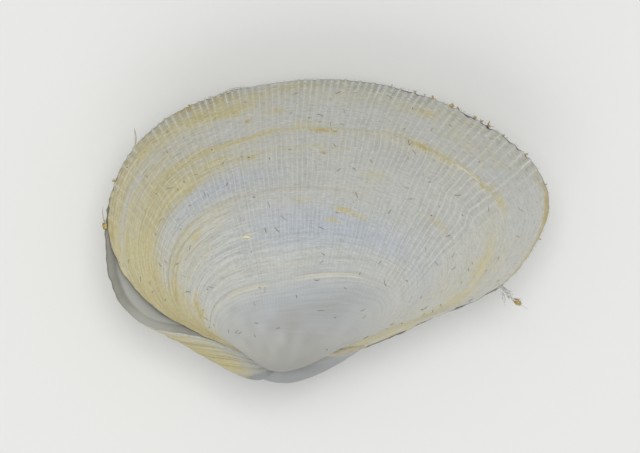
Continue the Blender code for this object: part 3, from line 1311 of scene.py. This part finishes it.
class Thicket:
    """Thin strands and small crumbs gathered into one piece."""

    UNEVEN = (-0.38, 0.35)

    def __init__(self, name: str, seed: int, sides: int = 5) -> None:
        """Start empty.

        Args:
            name: Name of the piece.
            seed: Seed of its random parts.
            sides: Sides of a strand's section.
        """
        self.name = name
        self.sides = sides
        self.draw = np.random.default_rng(seed)
        self.sheet = bmesh.new()

    def strand(self, path: Sequence[Vector], radius: float, up: Vector, flat: float = 1.0) -> None:
        """Add a strand that tapers to nothing at both ends.

        Args:
            path: Points along its middle.
            radius: Radius at its thickest.
            up: A direction across the strand, for its height.
            flat: Height of its section, as a share of its width.
        """
        last = len(path) - 1
        grid = bmesh.ops.create_grid(self.sheet, x_segments=self.sides, y_segments=last, size=1.0)
        for number, vertex in enumerate(grid["verts"]):
            row, column = divmod(number, self.sides + 1)
            heading = (path[min(row + 1, last)] - path[max(row - 1, 0)]).normalized()
            wide = heading.cross(up).normalized()
            high = wide.cross(heading)
            angle = 2.0 * math.pi * column / self.sides
            around = wide * math.cos(angle) + high * (flat * math.sin(angle))
            vertex.co = path[row] + around * (radius * math.sqrt(math.sin(math.pi * row / last)))

    def crumb(self, middle: Vector, radius: float, stretch: Vector) -> None:
        """Add a small uneven crumb.

        Args:
            middle: Its middle.
            radius: Its mean radius.
            stretch: Its proportions along the axes.
        """
        frame_of = Matrix.Translation(middle) @ Matrix.Diagonal((*stretch, 1.0))
        lump = bmesh.ops.create_icosphere(self.sheet, subdivisions=2, radius=radius, matrix=frame_of)
        for vertex in lump["verts"]:
            vertex.co += (vertex.co - middle) * self.draw.uniform(*self.UNEVEN)

    def build(self, material: bpy.types.Material) -> bpy.types.Object:
        """Make the piece.

        Args:
            material: Its finish.

        Returns:
            The piece.
        """
        mesh = mesh_of(self.sheet, self.name)
        weld(mesh)
        return add_piece(mesh, material)


@dataclass(frozen=True)
class Tuft:
    """A bunch of weed or byssus dried on at the edge.

    Args:
        way: Way round the edge where it sits.
        reach: How far its strands reach.
        strands: How many strands it has.
        crumb: Radius of the crumb in it, or 0.
        lean: How far it leans round the edge, in radians.
    """

    way: float
    reach: float
    strands: int
    crumb: float = 0.0
    lean: float = 0.0


@dataclass
class Litter:
    """What the sea left on one valve: grit hairs, specks, tufts and torn skin."""

    valve: Valve
    hairs: int = 130
    shreds: int = 210
    seed: int = 5

    HAIR_LENGTH = (0.00018, 0.00056)
    HAIR_RADIUS = (0.000010, 0.000021)
    HAIR_BEND = 0.00008
    HAIR_LIFT = 0.000014
    CRUMB_LIFT = 0.00002
    ROOT_SIZE = 0.998
    BACK_SIZE = 0.93
    WISP_CURL = 0.35
    WISP_UP = (0.1, 0.2, 1.0)
    TUFT_RADIUS = 0.000026
    FLAP_WAYS = (0.632, 0.604)
    FLAP_LEANS_AT = 0.618
    FLAP_LAYERS = ((0.0, 0.000050), (-0.00006, 0.000065))
    FLAP_LIFTS = (0.0, 0.00007, 0.00013, 0.00016, 0.00016, 0.00012, 0.00006, 0.0)
    LONG_HAIR_AT = (0.720, -0.95)
    LONG_HAIR_SHAPE = (0.00125, 0.000055)
    WEED_WAYS = (0.207, 0.798)
    STEM_LEAN = (0.1, -1.3, -0.4)
    STEM_REACH = 0.0010
    BRANCH_HEADING = (0.80, -0.58, -0.1)
    BRANCH_REACH = 0.0008
    BRANCH_CRUMBS = ((0.55, 0.00013), (0.75, 0.00017), (0.95, 0.00020), (1.12, 0.00012))
    SHRED_PLACES = ((0.20, 0.06, 1.1), (0.38, 0.07, 0.8))
    SHRED_REACH = (0.00003, 0.00010)
    SHRED_RADIUS = (0.000014, 0.000030)
    SPECKS = (
        (0.694, 0.760, 0.00009), (0.613, 0.748, 0.00011), (0.738, 0.972, 0.00008),
        (0.367, 0.666, 0.00010), (0.652, 0.810, 0.00008), (0.430, 0.780, 0.00006), (0.524, 0.738, 0.00005),
        (0.357, 0.205, 0.00008), (0.829, 0.985, 0.00006), (0.560, 0.905, 0.00005), (0.470, 0.610, 0.00005),
    )
    GRAINS = (
        (0.632, 0.521, 0.00013), (0.628, 0.518, 0.00010), (0.636, 0.522, 0.00008),
    )
    TUFTS = (
        Tuft(0.457, 0.00016, 3, 0.00006), Tuft(0.448, 0.00014, 3), Tuft(0.440, 0.00022, 4, 0.00009, 0.3),
        Tuft(0.423, 0.00028, 7, 0.00017, -0.3), Tuft(0.417, 0.00020, 4, 0.00012),
        Tuft(0.399, 0.00030, 5, 0.00010, 0.5), Tuft(0.393, 0.00020, 3, 0.00007),
        Tuft(0.386, 0.00034, 5, 0.00008, -0.2), Tuft(0.370, 0.00015, 3, 0.00005),
        Tuft(0.344, 0.00016, 3, 0.00011), Tuft(0.756, 0.00020, 2, 0.00012),
        Tuft(0.660, 0.00008, 2, 0.00007), Tuft(0.478, 0.00012, 2), Tuft(0.312, 0.00010, 2, 0.00006),
        Tuft(0.262, 0.00012, 2, 0.00007),
    )

    def outward(self, way: float, lean: float = 0.0) -> tuple[Vector, Vector]:
        """Find a place on the edge, for something to stick out from.

        Args:
            way: Way round the edge.
            lean: How far the direction leans round the edge, in radians.

        Returns:
            The place and the direction.
        """
        place, _, round_edge = self.valve.skin(way, self.ROOT_SIZE)
        out = (place - self.valve.form.point(way, self.BACK_SIZE)).normalized()
        return place, (out * math.cos(lean) + round_edge * math.sin(lean)).normalized()

    def wisp(self, thicket: Thicket, start: Vector, heading: Vector, reach: float, radius: float) -> None:
        """Add one curling strand to a thicket.

        Args:
            thicket: Where to add it.
            start: Where it is rooted.
            heading: The way it sets out.
            reach: Its length.
            radius: Its radius.
        """
        curl = Vector(thicket.draw.uniform(-1.0, 1.0, 3)).normalized() * reach * self.WISP_CURL
        shares = np.linspace(-0.15, 1.0, 7)
        path = [start + heading * (share * reach) + curl * share * share for share in shares]
        thicket.strand(path, radius, Vector(self.WISP_UP))

    def grit_hairs(self, material: bpy.types.Material) -> None:
        """Scatter short dark grit hairs over the outside.

        Args:
            material: Their finish.
        """
        thicket = Thicket("grit_hairs", self.seed, sides=4)
        draw = thicket.draw
        for _ in range(self.hairs):
            way, size = draw.uniform(0.18, 0.86), math.sqrt(draw.uniform(0.06, 0.94))
            place, normal, round_edge = self.valve.skin(way, size)
            angle, half = draw.uniform(0.0, math.pi), 0.5 * draw.uniform(*self.HAIR_LENGTH)
            heading = round_edge * math.cos(angle) + normal.cross(round_edge) * math.sin(angle)
            bend = normal.cross(heading) * draw.uniform(-self.HAIR_BEND, self.HAIR_BEND)
            middle = place + normal * self.HAIR_LIFT
            shares = np.linspace(-1.0, 1.0, 6)
            path = [middle + heading * (share * half) + bend * (share * share) for share in shares]
            thicket.strand(path, draw.uniform(*self.HAIR_RADIUS), normal)
        for way, size, radius in self.SPECKS:
            place, normal, _ = self.valve.skin(way, size)
            thicket.crumb(place + normal * self.CRUMB_LIFT, 0.55 * radius, Vector((1.0, 0.8, 0.45)))
        thicket.build(material)

    def edge_tufts(self, material: bpy.types.Material) -> None:
        """Stick the small rusty tufts on the edge.

        Args:
            material: Their finish.
        """
        thicket = Thicket("edge_tufts", self.seed + 1)
        for tuft in self.TUFTS:
            place, out = self.outward(tuft.way, tuft.lean)
            if tuft.crumb:
                thicket.crumb(place + out * 0.3 * tuft.crumb, 0.72 * tuft.crumb, Vector((1.5, 0.8, 0.6)))
            for _ in range(2 * tuft.strands):
                spread = Vector(thicket.draw.uniform(-0.7, 0.7, 3))
                reach = tuft.reach * thicket.draw.uniform(0.6, 1.2)
                self.wisp(thicket, place, (out + spread).normalized(), reach, self.TUFT_RADIUS)
        thicket.build(material)

    def torn_skin(self, material: bpy.types.Material) -> None:
        """Fringe the edge with pale shreds of its own skin, with a lifted flap and a long hair.

        Args:
            material: Their finish.
        """
        thicket = Thicket("torn_skin", self.seed + 2, sides=4)
        draw = thicket.draw
        for _ in range(self.shreds):
            way = draw.uniform(0.11, 0.76)
            rough = float(torn(way, self.SHRED_PLACES))
            place, out = self.outward(way, draw.uniform(-0.9, 0.9))
            reach = rough * draw.uniform(*self.SHRED_REACH)
            self.wisp(thicket, place, out, reach, draw.uniform(*self.SHRED_RADIUS))
        flap = [self.outward(way)[0] for way in np.linspace(*self.FLAP_WAYS, len(self.FLAP_LIFTS))]
        out = self.outward(self.FLAP_LEANS_AT)[1]
        for down, radius in self.FLAP_LAYERS:
            risen = [point + out * (lift + down) for point, lift in zip(flap, self.FLAP_LIFTS)]
            thicket.strand(risen, radius, Vector((0, 0, 1)), 0.6)
        place, out = self.outward(*self.LONG_HAIR_AT)
        self.wisp(thicket, place, out, *self.LONG_HAIR_SHAPE)
        thicket.build(material)

    def pale_grains(self, material: bpy.types.Material) -> None:
        """Stick the few cream grains on the outside.

        Args:
            material: Their finish.
        """
        thicket = Thicket("pale_grains", self.seed + 6)
        for way, size, radius in self.GRAINS:
            place, normal, _ = self.valve.skin(way, size)
            thicket.crumb(place + normal * self.CRUMB_LIFT, radius, Vector((1.4, 0.8, 0.4)))
        thicket.build(material)

    def weed(self, grey: bpy.types.Material, rusty: bpy.types.Material) -> None:
        """Hang the two larger bits of weed on the edge, one behind and one in front.

        Args:
            grey: Finish of the fibres.
            rusty: Finish of the crumbs.
        """
        fibres, crumbs = Thicket("weed_fibres", self.seed + 3), Thicket("weed_crumbs", self.seed + 4)
        behind, in_front = self.WEED_WAYS
        root, out = self.outward(behind)
        fall = (out + Vector(self.STEM_LEAN)).normalized()
        knot = root + fall * self.STEM_REACH
        for _ in range(14):
            start = root + Vector(fibres.draw.uniform(-0.00016, 0.00016, 3))
            heading = (fall + Vector(fibres.draw.uniform(-0.3, 0.3, 3))).normalized()
            self.wisp(fibres, start, heading, 0.0011, 0.000042)
        away = Vector(self.BRANCH_HEADING).normalized()
        for _ in range(10):
            heading = (away + Vector(fibres.draw.uniform(-0.25, 0.25, 3))).normalized()
            self.wisp(fibres, knot, heading, self.BRANCH_REACH, 0.000040)
        self.wisp(fibres, knot + away * 0.0006, away, 0.0011, 0.000018)
        crumbs.crumb(knot, 0.00011, Vector((1.0, 0.8, 0.8)))
        for share, radius in self.BRANCH_CRUMBS:
            crumbs.crumb(knot + away * (self.BRANCH_REACH * share), radius, Vector((1.1, 0.8, 0.7)))
        place, out = self.outward(in_front)
        crumbs.crumb(place + out * 0.00026, 0.00017, Vector((1.0, 1.3, 0.8)))
        crumbs.crumb(place + out * 0.00042, 0.00009, Vector((1.0, 1.6, 0.8)))
        for lean in (0.5, 0.9, 1.25):
            heading = (out + Vector((0.0, lean, 0.0))).normalized()
            self.wisp(crumbs, place + out * 0.0002, heading, 0.0006 + 0.0009 * (lean > 1.0), 0.000024)
        fibres.build(grey)
        crumbs.build(rusty)


@dataclass(frozen=True)
class LigamentFinish:
    """Dry horny ligament, amber brown."""

    amber: Colour = tone(178, 173, 154)
    brown: Colour = tone(164, 153, 126)

    def make(self, name: str) -> bpy.types.Material:
        """Build the material.

        Args:
            name: Name of the material.

        Returns:
            The material.
        """
        board = Board(name)
        place, across, along, high = board.object_place()
        fibre = board.noise(board.vector(across * 900.0, along * 9000.0, high * 9000.0), 1.0, detail=3.0)
        colour = board.mix(board.ease(0.35, 0.65, fibre), self.brown, self.amber)
        return board.finish(Base_Color=colour, Roughness=0.45, Normal=board.bump(fibre, 0.00003))


@dataclass
class Ligament:
    """The horny strip that holds the valves together behind the beaks.

    Args:
        form: The valve whose hinge edge it follows.
        start: Where it begins along the hinge.
        end: Where it ends along the hinge.
        half_width: Half its width at its widest.
        half_depth: Half its depth at its deepest.
        sunk: How far it is sunk into the edges of the valves.
        rings: Sections along it.
        corners: Corners of a section.
    """

    form: GrowthForm
    start: float = 0.0018
    end: float = 0.0062
    half_width: float = 0.00046
    half_depth: float = 0.00032
    sunk: float = 0.00050
    rings: int = 60
    corners: int = 24

    def build(self, material: bpy.types.Material) -> bpy.types.Object:
        """Build the strip as one closed loft along the hinge edge.

        Args:
            material: Its finish.

        Returns:
            The piece.
        """
        edge = self.form.edge
        near = edge.curve[(edge.curve[:, 0] > 0.0) & (edge.curve[:, 1] < 0.1 * SHELL_LENGTH)]
        near = near[np.argsort(near[:, 0])]
        share = np.linspace(0.0, 1.0, self.rings)
        across = self.start + (self.end - self.start) * share
        girth = np.sqrt(np.maximum(0.0, np.sin(math.pi * share)))
        middle = np.interp(across, near[:, 0], near[:, 1]) + self.sunk - self.half_depth
        angle = 2.0 * math.pi * np.arange(self.corners + 1) / self.corners
        ridge = 1.0 + 0.05 * np.cos(6.0 * angle)[None] * np.cos(40.0 * share)[:, None]
        out = middle[:, None] + self.half_depth * girth[:, None] * np.cos(angle)[None] * ridge
        high = self.half_width * girth[:, None] * np.sin(angle)[None] * ridge
        points = np.stack([np.broadcast_to(across[:, None], out.shape), out, high], axis=-1)
        mesh, _ = shaped_grid("ligament_strip", self.form.seated(points))
        weld(mesh)
        piece = add_piece(mesh, material)
        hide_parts("ligament")
        return piece


@dataclass
class Studio:
    """A pale floor, soft lamps and a camera straight above."""

    middle: tuple[float, float] = (-0.00046, 0.00029)
    view_width: float = 0.0433
    view_height: float = 0.0062
    lens: float = 400.0
    sensor: float = 36.0
    floor_colour: Colour = tone(232, 232, 230)
    floor_reach: float = 0.8
    sky_strength: float = 0.56

    AIM = (0.0, 0.0, 0.006)
    LAMPS = (
        ("key_lamp", (0.01, 0.06, 0.40), 0.20, 0.57),
        ("fill_lamp", (-0.05, -0.26, 0.22), 0.28, 0.30),
    )

    def build(self) -> None:
        """Set up the floor, the light and the camera."""
        self.lay_floor()
        for lamp in self.LAMPS:
            self.hang_lamp(*lamp)
        world = bpy.data.worlds.new("studio")
        world.use_nodes = True
        sky = world.node_tree.nodes["Background"]
        sky.inputs[0].default_value = (1.0, 1.0, 1.0, 1.0)
        sky.inputs[1].default_value = self.sky_strength
        bpy.context.scene.world = world
        self.set_camera()
        bpy.context.scene.view_settings.view_transform = "Standard"

    def lay_floor(self) -> None:
        """Lay a plain pale floor."""
        sheet = bmesh.new()
        bmesh.ops.create_grid(sheet, x_segments=1, y_segments=1, size=self.floor_reach)
        mesh = mesh_of(sheet, "floor")
        board = Board("pale_floor")
        matt = board.finish(Base_Color=self.floor_colour, Roughness=0.9, Specular_IOR_Level=0.2)
        mesh.materials.append(matt)
        floor = put("floor", mesh)

    def hang_lamp(self, name: str, place: tuple[float, float, float], size: float, power: float) -> None:
        """Hang a soft square lamp that faces the shell.

        Args:
            name: Name of the lamp.
            place: Where it hangs.
            size: Length of its sides.
            power: Its power, in watts.
        """
        lamp = bpy.data.lights.new(name, "AREA")
        lamp.size = size
        lamp.energy = power
        hung = put(name, lamp)
        hung.location = place
        hung.rotation_mode = "QUATERNION"
        hung.rotation_quaternion = (Vector(self.AIM) - Vector(place)).to_track_quat("-Z", "Y")

    def set_camera(self) -> None:
        """Set the camera straight above, with the ventral edge at the top."""
        camera = bpy.data.cameras.new("camera")
        camera.lens = self.lens
        camera.sensor_width = self.sensor
        camera.clip_start = 0.01
        camera.clip_end = 10.0
        seen = put("camera", camera)
        distance = self.view_width * self.lens / self.sensor
        seen.location = (self.middle[0], self.middle[1], self.view_height + distance)
        bpy.context.scene.camera = seen


# Each row: size, start and end, height and width of the lip, then the strengths of the pale line, the
# dark line, ochre and yellow
RIGHT_MARKS = tuple(GrowthMark(*row) for row in (
    (0.978, 0.8, 0.93, 0.0, 0.009, 0.0, 0.8, 0.7),
    (0.96, 0.62, 0.8, 0.000015, 0.008, 0.65, 0.0, 0.3, 0.5),
    (0.93, 0.62, 0.84, 0.00001, 0.008, 0.0, 0.0, 0.2, 0.6),
    (0.895, 0.68, 0.88, 0.0, 0.009, 0.0, 0.0, 0.0, 0.6),
    (0.866, 0.7, 0.88, 0.0, 0.009, 0.0, 0.0, 0.2, 0.5),
    (0.832, 0.315, 0.475, 0.00006, 0.009, 0.62, 0.5, 0.35, 0.5),
    (0.8385, 0.33, 0.46, 0.0, 0.009, 0.55, 0.0, 0.0, 0.2),
    (0.832, 0.47, 0.84, 0.000022, 0.011, 0.12, 0.2, 0.0, 0.35),
    (0.832, 0.6, 0.84, 0.0, 0.009, 0.0, 0.0, 0.25, 0.45),
    (0.812, 0.62, 0.84, 0.000012, 0.008, 0.0, 0.0, 0.2, 0.5),
    (0.79, 0.64, 0.86, 0.0, 0.009, 0.3, 0.0, 0.0, 0.5),
    (0.768, 0.5, 0.82, 0.000022, 0.009, 0.0, 0.0, 0.35, 0.75),
    (0.745, 0.66, 0.86, 0.0, 0.009, 0.0, 0.0, 0.35, 0.5),
    (0.722, 0.7, 0.88, 0.0, 0.009, 0.0, 0.0, 0.0, 0.6), (0.7, 0.72, 0.88, 0.0, 0.009, 0.4, 0.0, 0.0, 0.3),
    (0.672, 0.74, 0.88, 0.0, 0.009, 0.3, 0.0, 0.0, 0.3),
    (0.632, 0.47, 0.84, 0.000022, 0.008, 0.0, 0.5, 0.0, 0.25),
    (0.632, 0.655, 0.84, 0.000025, 0.008, 0.0, 0.0, 0.8, 0.6),
    (0.606, 0.655, 0.84, 0.000035, 0.008, 0.0, 0.0, 0.7, 0.7),
    (0.58, 0.6, 0.8, 0.0, 0.008, 0.0, 0.0, 0.0, 0.2),
    (0.556, 0.62, 0.82, 0.0, 0.008, 0.35, 0.0, 0.0, 0.1),
    (0.527, 0.58, 0.8, 0.000018, 0.007, 0.5, 0.0, 0.0, 0.2), (0.5, 0.4, 0.8, 0.000018, 0.007, 0.12, 0.4),
    (0.478, 0.42, 0.8, 0.000018, 0.007, 0.35, 0.4),
    (0.455, 0.4, 0.8, 0.00002, 0.007, 0.35, 0.3, 0.0, 0.08),
    (0.428, 0.41, 0.82, 0.000025, 0.007, 0.25, 0.4, 0.0, 0.15), (0.41, 0.6, 0.8, 0.000015, 0.006, 0.25),
    (0.386, 0.385, 0.85, 0.00007, 0.008, 0.1, 0.7), (0.386, 0.6, 0.85, 0.0, 0.009, 0.55, 0.0, 0.0, 0.15),
    # Painted shadow: an ochre line just beneath the raised check at 0.386
    (0.3785, 0.61, 0.82, 0.0, 0.009, 0.0, 0.0, 0.6),
    (0.386, 0.41, 0.545, 0.0, 0.009, 0.85, 0.0, 0.0, 0.1), (0.368, 0.42, 0.82, 0.00001, 0.006, 0.1),
    (0.355, 0.48, 0.82, 0.000006, 0.006, 0.2), (0.335, 0.5, 0.84, 0.0, 0.006, 0.1, 0.15),
    (0.25, 0.32, 0.8, 0.000018, 0.014, 0.06), (0.215, 0.4, 0.8, 0.000024, 0.016, 0.0, 0.2),
))
# Each row: way, size, long and wide, then the strengths of ochre, yellow, blue and grey
RIGHT_STAINS = tuple(Stain(*row) for row in (
    (0.73, 0.96, 0.1, 0.028, 0.22, 0.65), (0.655, 0.988, 0.03, 0.024, 0.16, 1.0),
    (0.955, 0.78, 0.03, 0.16, 0.45, 0.85), (0.798, 0.445, 0.016, 0.045, 0.5, 0.9),
    (0.88, 0.93, 0.05, 0.06, 0.4, 0.8), (0.76, 0.86, 0.12, 0.07, 0.0, 0.55),
    (0.75, 0.765, 0.13, 0.045, 0.1, 0.6), (0.85, 0.72, 0.05, 0.2, 0.1, 0.8),
    (0.9, 0.75, 0.04, 0.4, 0.3, 0.95), (0.89, 0.42, 0.05, 0.24, 0.5, 0.95),
    (0.82, 0.52, 0.035, 0.1, 0.08, 0.45), (0.72, 0.56, 0.06, 0.07, 0.05, 0.3),
    # Painted shade: the ochre and yellow at way 0.8, size 0.985 darken the front edge where it turns from the
    # light
    (0.8, 0.985, 0.09, 0.03, 0.4, 0.9), (0.635, 0.935, 0.05, 0.032, 0.06, 0.52),
    (0.69, 0.99, 0.05, 0.022, 0.0, 0.0, 0.45, 0.5), (0.5, 0.945, 0.08, 0.04, 0.0, 0.35),
    (0.38, 0.915, 0.06, 0.05, 0.0, 0.35), (0.29, 0.988, 0.045, 0.016, 0.75, 0.5),
    (0.22, 0.992, 0.045, 0.01, 0.3, 0.35), (0.28, 0.79, 0.045, 0.028, 0.0, 0.26),
    (0.2, 0.79, 0.06, 0.065, 0.0, 0.2), (0.14, 0.755, 0.065, 0.08, 0.04, 0.28),
    (0.06, 0.65, 0.035, 0.25, 0.06, 0.25), (0.12, 0.96, 0.03, 0.05, 0.18, 0.3),
    (0.533, 0.829, 0.008, 0.007, 0.9, 0.5), (0.519, 0.824, 0.009, 0.006, 0.35, 0.8),
    (0.55, 0.836, 0.02, 0.006, 0.14, 0.5), (0.524, 0.748, 0.006, 0.006, 0.75, 0.4),
    (0.612, 0.76, 0.008, 0.008, 0.6, 0.5), (0.481, 0.582, 0.012, 0.01, 0.45, 1.0),
    (0.45, 0.572, 0.012, 0.007, 0.3, 0.9), (0.466, 0.577, 0.01, 0.005, 0.2, 0.7),
    (0.494, 0.548, 0.01, 0.008, 0.38, 0.9), (0.48, 0.545, 0.008, 0.005, 0.35, 0.5),
    (0.545, 0.6, 0.03, 0.009, 0.22, 0.5), (0.455, 0.7, 0.012, 0.02, 0.1, 0.45),
    (0.58, 0.895, 0.016, 0.012, 0.4, 0.5), (0.667, 0.993, 0.012, 0.01, 0.75, 0.5),
    (0.651, 0.94, 0.014, 0.012, 0.45, 0.7), (0.63, 0.98, 0.014, 0.016, 0.45, 0.8),
    (0.619, 0.922, 0.014, 0.016, 0.3, 0.5), (0.61, 0.885, 0.0035, 0.007, 0.95, 0.6),
    (0.6, 0.838, 0.03, 0.008, 0.25, 0.7), (0.65, 0.842, 0.03, 0.008, 0.32, 0.8),
    (0.7, 0.85, 0.03, 0.009, 0.35, 0.8), (0.653, 0.792, 0.03, 0.007, 0.2, 0.6),
    (0.692, 0.736, 0.012, 0.01, 0.6, 0.6), (0.745, 0.767, 0.012, 0.012, 0.5, 0.6),
    (0.552, 0.857, 0.012, 0.012, 0.35, 0.3), (0.35, 0.66, 0.018, 0.012, 0.45, 0.6),
    (0.338, 0.848, 0.01, 0.01, 0.25, 0.5), (0.352, 0.831, 0.016, 0.006, 0.75, 0.5),
    (0.395, 0.83, 0.012, 0.006, 0.7, 0.6), (0.425, 0.832, 0.008, 0.008, 0.6, 0.6),
    (0.425, 0.825, 0.05, 0.03, 0.0, 0.25), (0.32, 0.848, 0.009, 0.012, 0.3, 0.6),
    (0.44, 0.94, 0.012, 0.018, 0.25, 0.5), (0.56, 0.975, 0.04, 0.012, 0.18, 0.5),
    (0.405, 0.975, 0.03, 0.01, 0.3, 0.5), (0.265, 0.8, 0.02, 0.1, 0.0, 0.2),
    (0.632, 0.52, 0.006, 0.005, 0.0, 1.0), (0.71, 0.592, 0.01, 0.006, 0.5, 0.7),
    (0.795, 0.592, 0.035, 0.008, 0.5, 0.7), (0.821, 0.602, 0.01, 0.008, 0.95, 0.6),
    (0.78, 0.478, 0.018, 0.014, 0.5, 0.7), (0.818, 0.452, 0.018, 0.014, 0.5, 0.7),
    (0.777, 0.8, 0.02, 0.012, 0.5, 0.8), (0.822, 0.735, 0.02, 0.014, 0.5, 0.8),
    (0.66, 0.69, 0.09, 0.035, 0.0, 0.0, 0.75), (0.5, 0.52, 0.16, 0.07, 0.0, 0.0, 0.95),
    (0.53, 0.31, 0.17, 0.075, 0.0, 0.0, 0.85, 0.4), (0.44, 0.29, 0.1, 0.08, 0.0, 0.0, 0.3, 0.2),
    (0.36, 0.9, 0.09, 0.05, 0.0, 0.0, 0.25), (0.5, 0.07, 0.6, 0.19, 0.0, 0.0, 0.0, 1.0),
    (0.0, 0.25, 0.12, 0.35, 0.0, 0.15, 0.0, 0.4), (0.05, 0.85, 0.085, 0.3, 0.05, 0.45),
    (0.1, 0.8, 0.006, 0.03, 0.5), (0.18, 0.7, 0.1, 0.35, 0.0, 0.3),
))
LEFT_MARKS = tuple(GrowthMark(*row) for row in (
    (0.96, 0.6, 0.92, 0.0, 0.009, 0.0, 0.0, 0.0, 0.6),
    (0.93, 0.3, 0.93, 0.00003, 0.01, 0.3, 0.0, 0.0, 0.5),
    (0.9, 0.6, 0.93, 0.0, 0.009, 0.0, 0.0, 0.2, 0.7), (0.87, 0.7, 0.94, 0.0, 0.009, 0.4, 0.0, 0.0, 0.6),
    (0.83, 0.34, 0.94, 0.00005, 0.011, 0.3, 0.4, 0.35, 0.5),
    (0.79, 0.7, 0.95, 0.0, 0.009, 0.0, 0.4, 0.0, 0.6),
    (0.74, 0.4, 0.95, 0.00003, 0.01, 0.4, 0.0, 0.0, 0.5),
    (0.69, 0.7, 0.95, 0.0, 0.009, 0.0, 0.4, 0.2, 0.5), (0.65, 0.6, 0.95, 0.0, 0.009, 0.4, 0.0, 0.0, 0.5),
    (0.61, 0.36, 0.94, 0.00004, 0.01, 0.0, 0.4, 0.3, 0.4),
    (0.55, 0.6, 0.95, 0.0, 0.009, 0.4, 0.0, 0.0, 0.4),
    (0.5, 0.4, 0.92, 0.000025, 0.009, 0.0, 0.3, 0.0, 0.35),
    (0.4, 0.32, 0.88, 0.00005, 0.01, 0.7, 0.3, 0.0, 0.35),
    (0.24, 0.3, 0.86, 0.00003, 0.016, 0.2, 0.0, 0.0, 0.1),
))
LEFT_STAINS = tuple(Stain(*row) for row in (
    (0.87, 0.75, 0.07, 0.3, 0.1, 0.65), (0.72, 0.92, 0.12, 0.06, 0.0, 0.5),
    (0.9, 0.52, 0.05, 0.2, 0.15, 0.8), (0.9, 0.28, 0.06, 0.12, 0.0, 0.0, 0.35, 0.7),
    (0.5, 0.7, 0.25, 0.12, 0.0, 0.0, 0.35), (0.52, 0.36, 0.18, 0.1, 0.0, 0.0, 0.7),
    (0.0, 0.5, 0.07, 0.3, 0.0, 0.0, 0.5), (0.5, 0.14, 0.6, 0.22, 0.0, 0.0, 0.25, 0.9),
    (0.975, 0.29, 0.05, 0.13, 0.0, 0.0, 0.3, 0.85), (0.4, 0.86, 0.03, 0.02, 0.4, 0.3),
))


def checks_of(marks: Sequence[GrowthMark]) -> tuple[float, ...]:
    """List the different sizes of some growth marks, from the smallest up."""
    return tuple(sorted({mark.size for mark in marks}))


def main() -> None:
    """Build the shell and the studio round it, and report each piece."""
    logging.basicConfig(level=logging.INFO, format="%(name)s: %(message)s")
    threads = Threads()
    right_form = GrowthForm(EdgeLine(RIGHT_EDGE), RIGHT_SPIRAL, Side.RIGHT)
    left_form = GrowthForm(EdgeLine(LEFT_EDGE), LEFT_SPIRAL, Side.LEFT, swelling=LEFT_SWELLING)
    seat = seat_of(right_form, "right_valve")
    right_form.seat = seat
    left_form.seat = seat
    LOG.info("seat: %s", [round(value * 1000.0, 3) for value in seat.translation])

    right = Surface(threads, RIGHT_MARKS, RIGHT_STAINS, seed=11)
    left = Surface(threads, LEFT_MARKS, LEFT_STAINS, seed=41, front_spread=0.0)
    right_finish = ShellFinish(checks_of(RIGHT_MARKS)).make("right_shell_chalk")
    left_finish = ShellFinish(checks_of(LEFT_MARKS), dull=tone(142, 145, 146)).make("left_shell_chalk")
    upper = Valve("right_valve_carved", "right_valve", right_form, right)
    upper.build(right_finish)
    Valve("left_valve_carved", "left_valve", left_form, left, shelf=0.0009).build(left_finish)
    litter = Litter(upper)
    rusty = MattFinish(tone(184, 164, 104), tone(150, 122, 68)).make("dried_weed")
    litter.grit_hairs(MattFinish(tone(126, 124, 110), tone(104, 98, 82)).make("grit_hair"))
    litter.pale_grains(MattFinish(tone(216, 211, 172), tone(226, 224, 200)).make("pale_grain"))
    litter.edge_tufts(rusty)
    litter.torn_skin(MattFinish(tone(206, 206, 196), tone(188, 184, 160)).make("torn_skin"))
    litter.weed(MattFinish(tone(214, 216, 210), tone(176, 180, 176)).make("weed_fibre"), rusty)
    Ligament(left_form).build(LigamentFinish().make("ligament_horn"))
    Studio().build()


if __name__ == "__main__":
    main()
